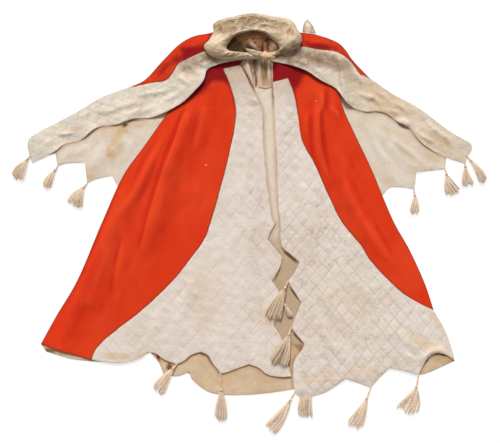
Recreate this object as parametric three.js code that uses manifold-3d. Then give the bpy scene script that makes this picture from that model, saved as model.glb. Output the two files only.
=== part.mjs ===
// A ceremonial robe with a shoulder cape, laid flat on its back with its front up.
// Millimetres. The hem points to -Y, the collar to +Y, and +Z is up out of the surface that it lies on.
// Left and right are the viewer's.

import * as THREE from 'three';
import { mergeVertices } from 'three/addons/utils/BufferGeometryUtils.js';
import Module from 'manifold-3d';

const wasm = await Module();
wasm.setup();

// Cloth walls, and the gaps between layers and at seams
const WOOL = 1.4;
const LINING = 1.2;
const RED_PANEL = 1.9;
const QUILTED = 2.6;
const COLLAR_WALL = 3.4;
const TIE_WALL = 1.6;
const LAYER_GAP = 0.4;
const SEAM_GAP = 0.3;

// Quilting: half a diamond across and along, and how far its middle stands up
const QUILT_X = 23;
const QUILT_Y = 27;
const PUFF = 2.4;

// Lattice steps, which all divide the length of the slope onto the cape
const PANEL_STEP = 39;
const BACK_STEP = 78;
const FACING_STEP = 52;
const SLOPE_LENGTH = 312;
const EDGE_STEP = 34;

// Heights of the layers' undersides where the robe's body lies on the cape's back
const CAPE_LINING_Z = WOOL + LAYER_GAP;
const ROBE_BACK_Z = CAPE_LINING_Z + LINING + LAYER_GAP;
const ROBE_LINING_Z = WOOL + LAYER_GAP;
const FACING_Z = ROBE_LINING_Z + LINING + LAYER_GAP;
const FRONT_Z = FACING_Z + WOOL + LAYER_GAP;
const CAPE_EDGE_Z = ROBE_BACK_Z;
const CAPE_OVER_Z = ROBE_BACK_Z + FRONT_Z + QUILTED + PUFF + LAYER_GAP;
const FLOOR_GAP = 0.4;
const TIDY = 0.02;

// How far from an edge the cloth rises, drops or is held flat
const SIDE_RISE = 70;
const HEM_DROP = 40;
const HEM_DROP_UNTIL = 560;
const PRISM_REACH = 100;
const FLAT_MARGIN = 50;
const CAPE_SHADE = 60;
const CAPE_RISE_FROM = -80;
const CAPE_RISE_TO = 40;

const COLOURS = {
  red: 0xd0401f,
  quilted: 0xdccfbd,
  band: 0xd6c6ab,
  wingLining: 0xe2d8c6,
  backLining: 0xcfb18c,
  facing: 0xd6bfa8,
  collar: 0xbba78a,
  tie: 0xc19b7a,
  tassel: 0xd0b997,
};

// Outline edges. Columns x and y; corner marks a sharp point between two smooth stretches.
const CAPE_SHOULDER_LEFT = [
  { x: -100, y: 692 }, { x: -133, y: 675 }, { x: -199, y: 661 }, { x: -248, y: 633 }, { x: -317, y: 563 },
  { x: -371, y: 507 }, { x: -427, y: 481 },
];
const CAPE_WING_LEFT = [
  { x: -427, y: 481 }, { x: -518, y: 448 }, { x: -595, y: 402 }, { x: -679, y: 357 }, { x: -742, y: 325 },
  { x: -774, y: 301 }, { x: -779, y: 280 }, { x: -772, y: 240, corner: true }, { x: -763, y: 217 },
];
const BAND_EDGE_LEFT = [
  { x: 28, y: 581 }, { x: -49, y: 574 }, { x: -115, y: 560 }, { x: -150, y: 542 }, { x: -161, y: 507 },
  { x: -192, y: 469 }, { x: -234, y: 430 }, { x: -294, y: 395 }, { x: -350, y: 375 }, { x: -406, y: 373 },
  { x: -465, y: 353 }, { x: -539, y: 339 }, { x: -595, y: 297 }, { x: -651, y: 283 }, { x: -690, y: 253 },
  { x: -763, y: 217 },
];
const BAND_SEAM_LEFT = [
  { x: -92, y: 628 }, { x: -157, y: 609 }, { x: -206, y: 588 }, { x: -252, y: 563 }, { x: -269, y: 535 },
  { x: -294, y: 508 }, { x: -350, y: 497 }, { x: -427, y: 481 },
];
const CAPE_NECK_FRONT_LEFT = [
  { x: 28, y: 581, corner: true }, { x: 28, y: 596, corner: true }, { x: -30, y: 598 }, { x: -78, y: 607 },
  { x: -92, y: 628 },
];
const CAPE_NECK_BACK_LEFT = [
  { x: -92, y: 628 }, { x: -88, y: 660 }, { x: -78, y: 690, corner: true }, { x: -100, y: 692 },
];
const CAPE_SHOULDER_RIGHT = [
  { x: 125, y: 692 }, { x: 168, y: 676 }, { x: 229, y: 668 }, { x: 311, y: 637 }, { x: 336, y: 612 },
  { x: 357, y: 581 }, { x: 420, y: 514 },
];
const CAPE_WING_RIGHT = [
  { x: 420, y: 514 }, { x: 502, y: 458 }, { x: 586, y: 413 }, { x: 668, y: 352 }, { x: 724, y: 313 },
  { x: 774, y: 285 }, { x: 779, y: 268 }, { x: 762, y: 240, corner: true }, { x: 754, y: 215 },
];
const BAND_EDGE_RIGHT = [
  { x: 62, y: 581 }, { x: 77, y: 573 }, { x: 133, y: 561 }, { x: 196, y: 539 }, { x: 245, y: 507 },
  { x: 301, y: 476 }, { x: 335, y: 430 }, { x: 367, y: 408 }, { x: 407, y: 397 }, { x: 463, y: 395 },
  { x: 525, y: 357 }, { x: 558, y: 339 }, { x: 591, y: 297 }, { x: 637, y: 262 }, { x: 686, y: 238 },
  { x: 754, y: 215 },
];
const BAND_SEAM_RIGHT = [
  { x: 112, y: 632 }, { x: 182, y: 625 }, { x: 227, y: 617 }, { x: 311, y: 603 }, { x: 357, y: 568 },
  { x: 385, y: 530 }, { x: 420, y: 514 },
];
const CAPE_NECK_FRONT_RIGHT = [
  { x: 62, y: 581, corner: true }, { x: 62, y: 596, corner: true }, { x: 90, y: 601 }, { x: 108, y: 612 },
  { x: 112, y: 632 },
];
const CAPE_NECK_BACK_RIGHT = [
  { x: 112, y: 632 }, { x: 104, y: 660 }, { x: 92, y: 690, corner: true }, { x: 125, y: 692 },
];
const CAPE_BACK_NECK = [
  { x: -100, y: 692 }, { x: -40, y: 700 }, { x: 20, y: 702 }, { x: 80, y: 700 }, { x: 125, y: 692 },
];
const CAPE_HEM = [
  { x: -763, y: 217, corner: true }, { x: -722, y: 238 }, { x: -682, y: 252, corner: true },
  { x: -674, y: 206, corner: true }, { x: -654, y: 214 }, { x: -635, y: 217 },
  { x: -579, y: 220, corner: true }, { x: -574, y: 178 }, { x: -570, y: 148, corner: true },
  { x: -539, y: 161 }, { x: -483, y: 173, corner: true }, { x: -472, y: 150 },
  { x: -437, y: 87, corner: true }, { x: -230, y: 50 }, { x: 0, y: 35 }, { x: 230, y: 48 },
  { x: 437, y: 77, corner: true }, { x: 465, y: 104 }, { x: 490, y: 131 }, { x: 535, y: 132 },
  { x: 575, y: 126, corner: true }, { x: 581, y: 157 }, { x: 583, y: 185, corner: true },
  { x: 625, y: 190 }, { x: 684, y: 196, corner: true }, { x: 688, y: 242, corner: true },
  { x: 754, y: 215 },
];
const ROBE_SIDE_LEFT = [
  { x: -245, y: 455 }, { x: -294, y: 385 }, { x: -373, y: 273 }, { x: -441, y: 178 }, { x: -518, y: 10 },
  { x: -607, y: -198 }, { x: -680, y: -321 }, { x: -733, y: -417 },
];
const ROBE_SIDE_RIGHT = [
  { x: 316, y: 450 }, { x: 329, y: 402 }, { x: 367, y: 318 }, { x: 423, y: 201 }, { x: 504, y: 10 },
  { x: 558, y: -86 }, { x: 614, y: -209 }, { x: 644, y: -299 },
];
const BORDER_SIDE_RIGHT = [
  { x: 644, y: -299 }, { x: 681, y: -366 }, { x: 703, y: -421 }, { x: 717, y: -477 },
];
const SHOULDERS = [
  { x: -245, y: 455 }, { x: -232, y: 510 }, { x: -210, y: 556, corner: true }, { x: -120, y: 612 },
  { x: -60, y: 668 }, { x: 16, y: 688 }, { x: 92, y: 668 }, { x: 180, y: 612 },
  { x: 297, y: 556, corner: true }, { x: 310, y: 500 }, { x: 316, y: 450 },
];
const BACK_HEM = [
  { x: -733, y: -417, corner: true }, { x: -714, y: -444, corner: true }, { x: -612, y: -472 },
  { x: -423, y: -476 }, { x: -350, y: -446, corner: true }, { x: -317, y: -488 },
  { x: -303, y: -524, corner: true }, { x: -257, y: -531 }, { x: -213, y: -517, corner: true },
  { x: -204, y: -540 }, { x: -154, y: -581 }, { x: -112, y: -594 }, { x: 7, y: -595 }, { x: 154, y: -576 },
  { x: 280, y: -553 }, { x: 336, y: -529 }, { x: 423, y: -529 }, { x: 486, y: -494 }, { x: 535, y: -503 },
  { x: 591, y: -525 }, { x: 717, y: -477 },
];
const SEAM_LEFT = [
  { x: -94, y: 547 }, { x: -70, y: 492 }, { x: -50, y: 408 }, { x: -54, y: 341 }, { x: -71, y: 257 },
  { x: -99, y: 146 }, { x: -138, y: 10 }, { x: -161, y: -52 }, { x: -205, y: -114 }, { x: -273, y: -198 },
  { x: -385, y: -304 }, { x: -472, y: -371 }, { x: -518, y: -410 }, { x: -542, y: -438 },
  { x: -556, y: -472 },
];
const SEAM_RIGHT = [
  { x: 133, y: 514 }, { x: 154, y: 458 }, { x: 168, y: 385 }, { x: 182, y: 297 }, { x: 224, y: 218 },
  { x: 268, y: 118 }, { x: 322, y: 10 }, { x: 391, y: -75 }, { x: 423, y: -126 }, { x: 502, y: -209 },
  { x: 558, y: -254 }, { x: 644, y: -299 },
];
const BORDER_TOP_LEFT = [{ x: -94, y: 547 }, { x: -35, y: 560 }];
const BORDER_TOP_RIGHT = [{ x: 133, y: 514 }, { x: 80, y: 500 }];
const RED_TOP_LEFT = [
  { x: -35, y: 560, corner: true }, { x: -14, y: 596, corner: true }, { x: -110, y: 594 },
  { x: -210, y: 556, corner: true }, { x: -232, y: 510 }, { x: -245, y: 455 },
];
const RED_TOP_RIGHT = [
  { x: 80, y: 500, corner: true }, { x: 80, y: 596, corner: true }, { x: 190, y: 592 },
  { x: 297, y: 556, corner: true }, { x: 310, y: 500 }, { x: 316, y: 450 },
];
const FRONT_EDGE_LEFT = [
  { x: -35, y: 560 }, { x: 7, y: 480 }, { x: 42, y: 402 }, { x: 46, y: 297 }, { x: 63, y: 122 },
  { x: 78, y: 20, corner: true }, { x: 91, y: 6, corner: true }, { x: 76, y: -20 },
  { x: 63, y: -50, corner: true }, { x: 94, y: -87 }, { x: 112, y: -111, corner: true },
  { x: 104, y: -150 }, { x: 78, y: -195, corner: true }, { x: 103, y: -238 },
  { x: 119, y: -273, corner: true }, { x: 104, y: -316 }, { x: 84, y: -353, corner: true },
  { x: 110, y: -395 }, { x: 126, y: -430, corner: true }, { x: 132, y: -480 }, { x: 147, y: -531 },
];
const FRONT_EDGE_RIGHT = [
  { x: 80, y: 500 }, { x: 87, y: 367 }, { x: 98, y: 87 }, { x: 104, y: 16 }, { x: 112, y: -77 },
  { x: 136, y: -98 }, { x: 171, y: -130, corner: true }, { x: 161, y: -154 },
  { x: 133, y: -197, corner: true }, { x: 144, y: -216 }, { x: 178, y: -271, corner: true },
  { x: 167, y: -303 }, { x: 144, y: -360, corner: true }, { x: 161, y: -383 },
  { x: 190, y: -417, corner: true }, { x: 182, y: -436 }, { x: 157, y: -472 }, { x: 150, y: -521 },
  { x: 156, y: -588 },
];
const RED_HEM_LEFT = [{ x: -556, y: -472 }, { x: -680, y: -437 }, { x: -733, y: -417 }];
const BORDER_HEM_LEFT = [
  { x: -556, y: -472 }, { x: -512, y: -480 }, { x: -462, y: -485 }, { x: -423, y: -480 },
  { x: -385, y: -467 }, { x: -357, y: -445, corner: true }, { x: -331, y: -450 }, { x: -300, y: -472 },
  { x: -257, y: -488, corner: true }, { x: -231, y: -477 }, { x: -206, y: -456 },
  { x: -174, y: -445, corner: true }, { x: -149, y: -456 }, { x: -128, y: -488 },
  { x: -103, y: -520, corner: true }, { x: -82, y: -517 }, { x: -45, y: -503 },
  { x: -3, y: -488, corner: true }, { x: 26, y: -499 }, { x: 62, y: -524 }, { x: 108, y: -533 },
  { x: 147, y: -531 },
];
const BORDER_HEM_RIGHT = [
  { x: 156, y: -588, corner: true }, { x: 173, y: -602 }, { x: 196, y: -604, corner: true },
  { x: 217, y: -602 }, { x: 262, y: -588 }, { x: 296, y: -567 }, { x: 335, y: -539, corner: true },
  { x: 380, y: -554 }, { x: 423, y: -572, corner: true }, { x: 451, y: -539 },
  { x: 486, y: -502, corner: true }, { x: 535, y: -511 }, { x: 591, y: -527, corner: true },
  { x: 609, y: -488 }, { x: 630, y: -461 }, { x: 658, y: -449 }, { x: 692, y: -458 }, { x: 717, y: -477 },
];
const FACING = [
  { x: -12, y: 590, corner: true }, { x: -26, y: 555 }, { x: 10, y: 400 }, { x: 18, y: 87 },
  { x: 20, y: -87 }, { x: 36, y: -262 }, { x: 50, y: -420, corner: true },
  { x: 215, y: -420, corner: true }, { x: 210, y: -262 }, { x: 180, y: -87 }, { x: 150, y: 87 },
  { x: 150, y: 367 }, { x: 140, y: 590, corner: true },
];
const TIE_TAIL_LEFT = [
  { x: -3, y: 594, corner: true }, { x: -27, y: 556, corner: true }, { x: 15, y: 478, corner: true },
  { x: 20, y: 520 }, { x: 18, y: 594, corner: true },
];
const TIE_TAIL_RIGHT = [
  { x: 32, y: 594, corner: true }, { x: 29, y: 545 }, { x: 24, y: 510, corner: true },
  { x: 30, y: 482, corner: true }, { x: 54, y: 477 }, { x: 76, y: 482, corner: true },
  { x: 72, y: 594, corner: true },
];
const COLLAR_POINT = [
  { x: 184, y: 660, corner: true }, { x: 193, y: 697 }, { x: 207, y: 721, corner: true },
  { x: 221, y: 697 }, { x: 233, y: 655, corner: true },
];

// Folds: from x1, y1 to x2, y2, wide across and high at the crest
const FRONT_FOLDS = [
  { x1: -199, y1: 440, x2: -294, y2: 203, wide: 30, high: 5 },
  { x1: -294, y1: 203, x2: -345, y2: 10, wide: 34, high: 6 },
  { x1: -345, y1: 10, x2: -665, y2: -402, wide: 38, high: 5 },
  { x1: -487, y1: -18, x2: -563, y2: -262, wide: 30, high: 4 },
  { x1: 245, y1: 470, x2: 332, y2: 87, wide: 32, high: 5 },
  { x1: 300, y1: 400, x2: 350, y2: 290, wide: 24, high: 3 },
  { x1: 120, y1: 60, x2: 300, y2: -420, wide: 60, high: 2 },
  { x1: -20, y1: 100, x2: -120, y2: -400, wide: 60, high: 2 },
];
const WING_FOLDS = [
  { x1: 400, y1: 360, x2: 640, y2: 215, wide: 26, high: 5 },
  { x1: 500, y1: 270, x2: 595, y2: 200, wide: 22, high: 4 },
  { x1: -440, y1: 320, x2: -580, y2: 190, wide: 28, high: 5 },
  { x1: -400, y1: 300, x2: -480, y2: 190, wide: 22, high: 4 },
];
const CAPE_FOLDS = [
  { x1: 311, y1: 590, x2: 336, y2: 440, wide: 26, high: 6 },
  { x1: -285, y1: 560, x2: -225, y2: 440, wide: 30, high: 5 },
  { x1: -430, y1: 470, x2: -410, y2: 380, wide: 34, high: 4 },
  { x1: -600, y1: 390, x2: -560, y2: 320, wide: 30, high: 4 },
  { x1: 520, y1: 440, x2: 480, y2: 400, wide: 34, high: 4 },
  { x1: 660, y1: 345, x2: 600, y2: 300, wide: 30, high: 4 },
];

// Collar sections round the neck, from the tie over the left and the back to the tie again: the neck edge and
// the outer edge, the height of each edge, and the crest between them
const COLLAR_SECTIONS = [
  { inX: 40, inY: 600, outX: 40, outY: 579, inZ: 19.7, outZ: 19.7, crest: 27 },
  { inX: 5, inY: 601, outX: 2, outY: 578, inZ: 19.7, outZ: 19.7, crest: 32 },
  { inX: -35, inY: 603, outX: -45, outY: 575, inZ: 19.7, outZ: 19.7, crest: 42 },
  { inX: -72, inY: 609, outX: -124, outY: 580, inZ: 19.7, outZ: 19.7, crest: 50 },
  { inX: -79, inY: 620, outX: -159, outY: 620, inZ: 16, outZ: 17, crest: 54 },
  { inX: -65, inY: 646, outX: -133, outY: 683, inZ: 9, outZ: 10, crest: 50 },
  { inX: -32, inY: 666, outX: -96, outY: 722, inZ: 8, outZ: 2, crest: 40 },
  { inX: 14, inY: 677, outX: 7, outY: 743, inZ: 8, outZ: 0.6, crest: 32 },
  { inX: 57, inY: 664, outX: 106, outY: 730, inZ: 8, outZ: 2, crest: 36 },
  { inX: 80, inY: 649, outX: 158, outY: 704, inZ: 9, outZ: 10, crest: 44 },
  { inX: 101, inY: 628, outX: 184, outY: 645, inZ: 16, outZ: 17, crest: 52 },
  { inX: 100, inY: 612, outX: 168, outY: 606, inZ: 19.7, outZ: 19.7, crest: 48 },
  { inX: 80, inY: 605, outX: 112, outY: 585, inZ: 19.7, outZ: 19.7, crest: 28 },
  { inX: 46, inY: 601, outX: 47, outY: 579, inZ: 19.7, outZ: 19.7, crest: 27 },
];
const COLLAR_ROUND = 40;
const COLLAR_ACROSS = 6;
const COLLAR_PUFF = 2;
const COLLAR_PLAIN_END = 4;
const COLLAR_INSET = 3.2;
const ARCH_POWER = 0.6;

const KNOT = { x: 57, y: 589, long: 30, across: 13, high: 8, seat: 27.4 };

// Tassels: the point that each hangs from, the middle of its ends, its cord and half the width of its ends;
// from is the cloth whose point it is, and over is what its ends lie on where that isn't the surface below
const TASSELS = [
  { name: 'tassel_wing_left_tip', x: -772, y: 240, endX: -822, endY: 158, cord: 12, half: 22, from: 'cape' },
  {
    name: 'tassel_wing_left_outer',
    x: -674, y: 206, endX: -718, endY: 126, cord: 12, half: 17, from: 'lining',
  },
  {
    name: 'tassel_wing_left_inner',
    x: -570, y: 148, endX: -616, endY: 63, cord: 14, half: 28, from: 'lining',
  },
  { name: 'tassel_wing_right_tip', x: 754, y: 215, endX: 767, endY: 133, cord: 12, half: 22, from: 'cape' },
  { name: 'tassel_wing_right_side', x: 762, y: 240, endX: 823, endY: 144, cord: 20, half: 17, from: 'cape' },
  {
    name: 'tassel_wing_right_outer',
    x: 684, y: 196, endX: 718, endY: 102, cord: 20, half: 28, from: 'lining',
  },
  {
    name: 'tassel_wing_right_inner',
    x: 575, y: 126, endX: 574, endY: 35, cord: 24, half: 17, from: 'lining',
  },
  { name: 'tassel_hem_1', x: -257, y: -488, endX: -329, endY: -592, cord: 15, half: 24, from: 'front' },
  { name: 'tassel_hem_2', x: -103, y: -520, endX: -98, endY: -693, cord: 60, half: 26, from: 'front' },
  { name: 'tassel_hem_3', x: 156, y: -588, endX: 67, endY: -725, cord: 22, half: 26, from: 'front' },
  { name: 'tassel_hem_4', x: 196, y: -604, endX: 192, endY: -681, cord: 14, half: 25, from: 'front' },
  { name: 'tassel_hem_5', x: 423, y: -572, endX: 360, endY: -714, cord: 34, half: 22, from: 'front' },
  { name: 'tassel_hem_6', x: 591, y: -527, endX: 539, endY: -658, cord: 40, half: 34, from: 'front' },
  {
    name: 'tassel_edge_upper',
    x: 133, y: -197, endX: 73, endY: -329, cord: 24, half: 24, from: 'front', over: 'border',
  },
  {
    name: 'tassel_edge_lower',
    x: 144, y: -360, endX: 84, endY: -494, cord: 24, half: 24, from: 'front', over: 'border',
  },
  {
    name: 'tassel_edge_tucked',
    x: 119, y: -273, endX: 145, endY: -325, cord: 13, half: 8, from: 'front', over: 'facing',
  },
];
const STRANDS = 7;
const STRAND = { root: 1.4, tip: 2.1, sides: 3, lift: 4.4 };
const ROOTS = { spread: 0.6, low: -0.8, rise: 1.5, shorter: 0.05 };
const TASSEL_HEAD = { long: 11, across: 7, high: 5 };
const TASSEL_CORD = { start: 0.3, gap: 0.6, thick: 1.9, taper: 6, sides: 5 };

// Small maths

function clamp01(value) {
  return Math.min(1, Math.max(0, value));
}

function ease(value) {
  const t = clamp01(value);
  return t * t * (3 - 2 * t);
}

function lerp(a, b, t) {
  return a + (b - a) * t;
}

function distanceToSegment(x, y, a, b) {
  const dx = b.x - a.x;
  const dy = b.y - a.y;
  const t = clamp01(((x - a.x) * dx + (y - a.y) * dy) / (dx * dx + dy * dy));
  return Math.hypot(x - a.x - t * dx, y - a.y - t * dy);
}

function distanceToEdge(edge, x, y) {
  let least = Infinity;
  for (let i = 1; i < edge.length; i += 1) {
    least = Math.min(least, distanceToSegment(x, y, edge[i - 1], edge[i]));
  }
  return least;
}

// Distance to a closed outline, positive inside it
function depthInside(outline, x, y) {
  let inside = false;
  for (let i = 0, j = outline.length - 1; i < outline.length; j = i, i += 1) {
    const a = outline[i];
    const b = outline[j];
    if (a.y > y !== b.y > y && x < ((b.x - a.x) * (y - a.y)) / (b.y - a.y) + a.x) inside = !inside;
  }
  const far = distanceToEdge([...outline, outline[0]], x, y);
  return inside ? far : -far;
}

// Edges and outlines

function smoothStretch(points) {
  if (points.length < 3) return points;
  const curve = new THREE.CatmullRomCurve3(points.map((p) => new THREE.Vector3(p.x, p.y, 0)));
  const pieces = Math.max(points.length - 1, Math.round(curve.getLength() / EDGE_STEP));
  return curve.getSpacedPoints(pieces).map((p) => ({ x: p.x, y: p.y }));
}

function smoothEdge(rows) {
  const edge = [rows[0]];
  let stretch = [rows[0]];
  rows.slice(1).forEach((row, index) => {
    stretch.push(row);
    if (row.corner || index === rows.length - 2) {
      edge.push(...smoothStretch(stretch).slice(1));
      stretch = [row];
    }
  });
  return edge;
}

function reversed(edge) {
  return [...edge].reverse();
}

// Draws a closed outline in by a distance, and out where the distance is negative
function drawnIn(outline, distance) {
  const points = outline.map((p) => new THREE.Vector2(p.x, p.y));
  const side = THREE.ShapeUtils.isClockWise(points) ? -distance : distance;
  return points.map((point, i) => {
    const before = points.at(i - 1);
    const after = points[(i + 1) % points.length];
    const into = point.clone().sub(before).normalize();
    const away = after.clone().sub(point).normalize();
    const reach = side / (1 + into.dot(away));
    return { x: point.x - reach * (into.y + away.y), y: point.y + reach * (into.x + away.x) };
  });
}

function outlineOf(...edges) {
  const outline = [];
  for (const point of edges.flat()) {
    const last = outline.at(-1);
    if (!last || Math.hypot(point.x - last.x, point.y - last.y) > 1) outline.push(point);
  }
  const first = outline[0];
  const last = outline.at(-1);
  if (Math.hypot(first.x - last.x, first.y - last.y) <= 1) outline.pop();
  return outline;
}

const edges = Object.fromEntries(
  Object.entries({
    shoulderLeft: CAPE_SHOULDER_LEFT,
    wingLeft: CAPE_WING_LEFT,
    bandEdgeLeft: BAND_EDGE_LEFT,
    bandSeamLeft: BAND_SEAM_LEFT,
    neckFrontLeft: CAPE_NECK_FRONT_LEFT,
    neckBackLeft: CAPE_NECK_BACK_LEFT,
    shoulderRight: CAPE_SHOULDER_RIGHT,
    wingRight: CAPE_WING_RIGHT,
    bandEdgeRight: BAND_EDGE_RIGHT,
    bandSeamRight: BAND_SEAM_RIGHT,
    neckFrontRight: CAPE_NECK_FRONT_RIGHT,
    neckBackRight: CAPE_NECK_BACK_RIGHT,
    backNeck: CAPE_BACK_NECK,
    capeHem: CAPE_HEM,
    sideLeft: ROBE_SIDE_LEFT,
    sideRight: ROBE_SIDE_RIGHT,
    borderSideRight: BORDER_SIDE_RIGHT,
    shoulders: SHOULDERS,
    backHem: BACK_HEM,
    seamLeft: SEAM_LEFT,
    seamRight: SEAM_RIGHT,
    borderTopLeft: BORDER_TOP_LEFT,
    borderTopRight: BORDER_TOP_RIGHT,
    redTopLeft: RED_TOP_LEFT,
    redTopRight: RED_TOP_RIGHT,
    frontEdgeLeft: FRONT_EDGE_LEFT,
    frontEdgeRight: FRONT_EDGE_RIGHT,
    redHemLeft: RED_HEM_LEFT,
    borderHemLeft: BORDER_HEM_LEFT,
    borderHemRight: BORDER_HEM_RIGHT,
  }).map(([name, rows]) => [name, smoothEdge(rows)]),
);

const outlines = {
  capeBack: outlineOf(
    reversed(edges.wingLeft),
    reversed(edges.shoulderLeft),
    edges.backNeck,
    edges.shoulderRight,
    edges.wingRight,
    reversed(edges.capeHem),
  ),
  capeLeft: outlineOf(
    edges.bandEdgeLeft,
    reversed(edges.wingLeft),
    reversed(edges.shoulderLeft),
    reversed(edges.neckBackLeft),
    reversed(edges.neckFrontLeft),
  ),
  capeRight: outlineOf(
    edges.bandEdgeRight,
    reversed(edges.wingRight),
    reversed(edges.shoulderRight),
    reversed(edges.neckBackRight),
    reversed(edges.neckFrontRight),
  ),
  capeLeftBand: outlineOf(
    edges.bandEdgeLeft,
    reversed(edges.wingLeft),
    reversed(edges.bandSeamLeft),
    reversed(edges.neckFrontLeft),
  ),
  capeLeftRed: outlineOf(
    edges.bandSeamLeft,
    reversed(edges.shoulderLeft),
    reversed(edges.neckBackLeft),
  ),
  capeRightBand: outlineOf(
    edges.bandEdgeRight,
    reversed(edges.wingRight),
    reversed(edges.bandSeamRight),
    reversed(edges.neckFrontRight),
  ),
  capeRightRed: outlineOf(
    edges.bandSeamRight,
    reversed(edges.shoulderRight),
    reversed(edges.neckBackRight),
  ),
  robeBack: outlineOf(
    edges.shoulders,
    edges.sideRight,
    edges.borderSideRight,
    reversed(edges.backHem),
    reversed(edges.sideLeft),
  ),
  leftRed: outlineOf(
    edges.seamLeft,
    edges.redHemLeft,
    reversed(edges.sideLeft),
    reversed(edges.redTopLeft),
    reversed(edges.borderTopLeft),
  ),
  leftBorder: outlineOf(
    edges.seamLeft,
    edges.borderHemLeft,
    reversed(edges.frontEdgeLeft),
    reversed(edges.borderTopLeft),
  ),
  rightRed: outlineOf(
    edges.seamRight,
    reversed(edges.sideRight),
    reversed(edges.redTopRight),
    reversed(edges.borderTopRight),
  ),
  rightBorder: outlineOf(
    edges.seamRight,
    edges.borderSideRight,
    reversed(edges.borderHemRight),
    reversed(edges.frontEdgeRight),
    reversed(edges.borderTopRight),
  ),
  facing: outlineOf(smoothEdge(FACING)),
  tieTailLeft: outlineOf(smoothEdge(TIE_TAIL_LEFT)),
  tieTailRight: outlineOf(smoothEdge(TIE_TAIL_RIGHT)),
  collarPoint: outlineOf(smoothEdge(COLLAR_POINT)),
};

// Heights of the cloth's underside

function foldHeight(folds, x, y) {
  return folds.reduce((sum, fold) => {
    const across = distanceToSegment(x, y, { x: fold.x1, y: fold.y1 }, { x: fold.x2, y: fold.y2 });
    return sum + fold.high * Math.exp(-((across / fold.wide) ** 2));
  }, 0);
}

// The body of the robe lies on the cape's back, and slopes down to the surface below it
function onCape(y) {
  return ROBE_BACK_Z * clamp01((y + SLOPE_LENGTH) / SLOPE_LENGTH);
}

function outsideCape(x, y) {
  return -Math.max(depthInside(outlines.capeLeft, x, y), depthInside(outlines.capeRight, x, y));
}

// How far down the back reaches at x, past which the front's hem drops to the surface
function hemLine(x) {
  const after = edges.backHem.findIndex((p) => p.x > x);
  if (after < 1) return edges.backHem.at(after < 0 ? -1 : 0).y;
  const a = edges.backHem[after - 1];
  const b = edges.backHem[after];
  return lerp(a.y, b.y, clamp01((x - a.x) / (b.x - a.x)));
}

function frontHeight(x, y) {
  const sides = [edges.sideLeft, [...edges.sideRight, ...edges.borderSideRight]];
  const inFromSide = Math.min(...sides.map((side) => distanceToEdge(side, x, y)));
  const rise = (FRONT_Z - FACING_Z) * ease(inFromSide / SIDE_RISE);
  const free = ease(inFromSide / SIDE_RISE) * ease(outsideCape(x, y) / CAPE_SHADE);
  const held = FACING_Z + rise + foldHeight(FRONT_FOLDS, x, y) * free;
  const drop = ease((hemLine(x) - y) / HEM_DROP) * ease((HEM_DROP_UNTIL - x) / HEM_DROP);
  return onCape(y) + lerp(held, FLOOR_GAP, drop);
}

function capeLiningHeight(x, y) {
  const clear = Math.min(outsideCape(x, y), -depthInside(outlines.robeBack, x, y));
  return CAPE_LINING_Z + foldHeight(WING_FOLDS, x, y) * ease((clear - FLAT_MARGIN) / CAPE_SHADE);
}

function capeHeight(x, y) {
  const depth = depthInside(outlines.robeBack, x, y);
  const over = ease((depth - CAPE_RISE_FROM) / (CAPE_RISE_TO - CAPE_RISE_FROM));
  const outer = Math.min(distanceToEdge(edges.wingLeft, x, y), distanceToEdge(edges.wingRight, x, y));
  return lerp(CAPE_EDGE_Z, CAPE_OVER_Z, over) + foldHeight(CAPE_FOLDS, x, y) * ease(outer / SIDE_RISE);
}

// Solids

function solidOf(geometry) {
  geometry.deleteAttribute('normal');
  geometry.deleteAttribute('uv');
  const merged = mergeVertices(geometry);
  return new wasm.Manifold(
    new wasm.Mesh({
      numProp: 3,
      vertProperties: new Float32Array(merged.attributes.position.array),
      triVerts: new Uint32Array(merged.index.array),
    }),
  );
}

function geometryOf(solid) {
  const mesh = solid.getMesh();
  const geometry = new THREE.BufferGeometry();
  geometry.setAttribute('position', new THREE.BufferAttribute(mesh.vertProperties, 3));
  geometry.setIndex(new THREE.BufferAttribute(mesh.triVerts, 1));
  geometry.computeVertexNormals();
  return geometry;
}

function prismOf(outline) {
  const shape = new THREE.Shape(outline.map((p) => new THREE.Vector2(p.x, p.y)));
  const geometry = new THREE.ExtrudeGeometry(shape, { depth: 2 * PRISM_REACH, bevelEnabled: false });
  return solidOf(geometry.translate(0, 0, -PRISM_REACH));
}

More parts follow.
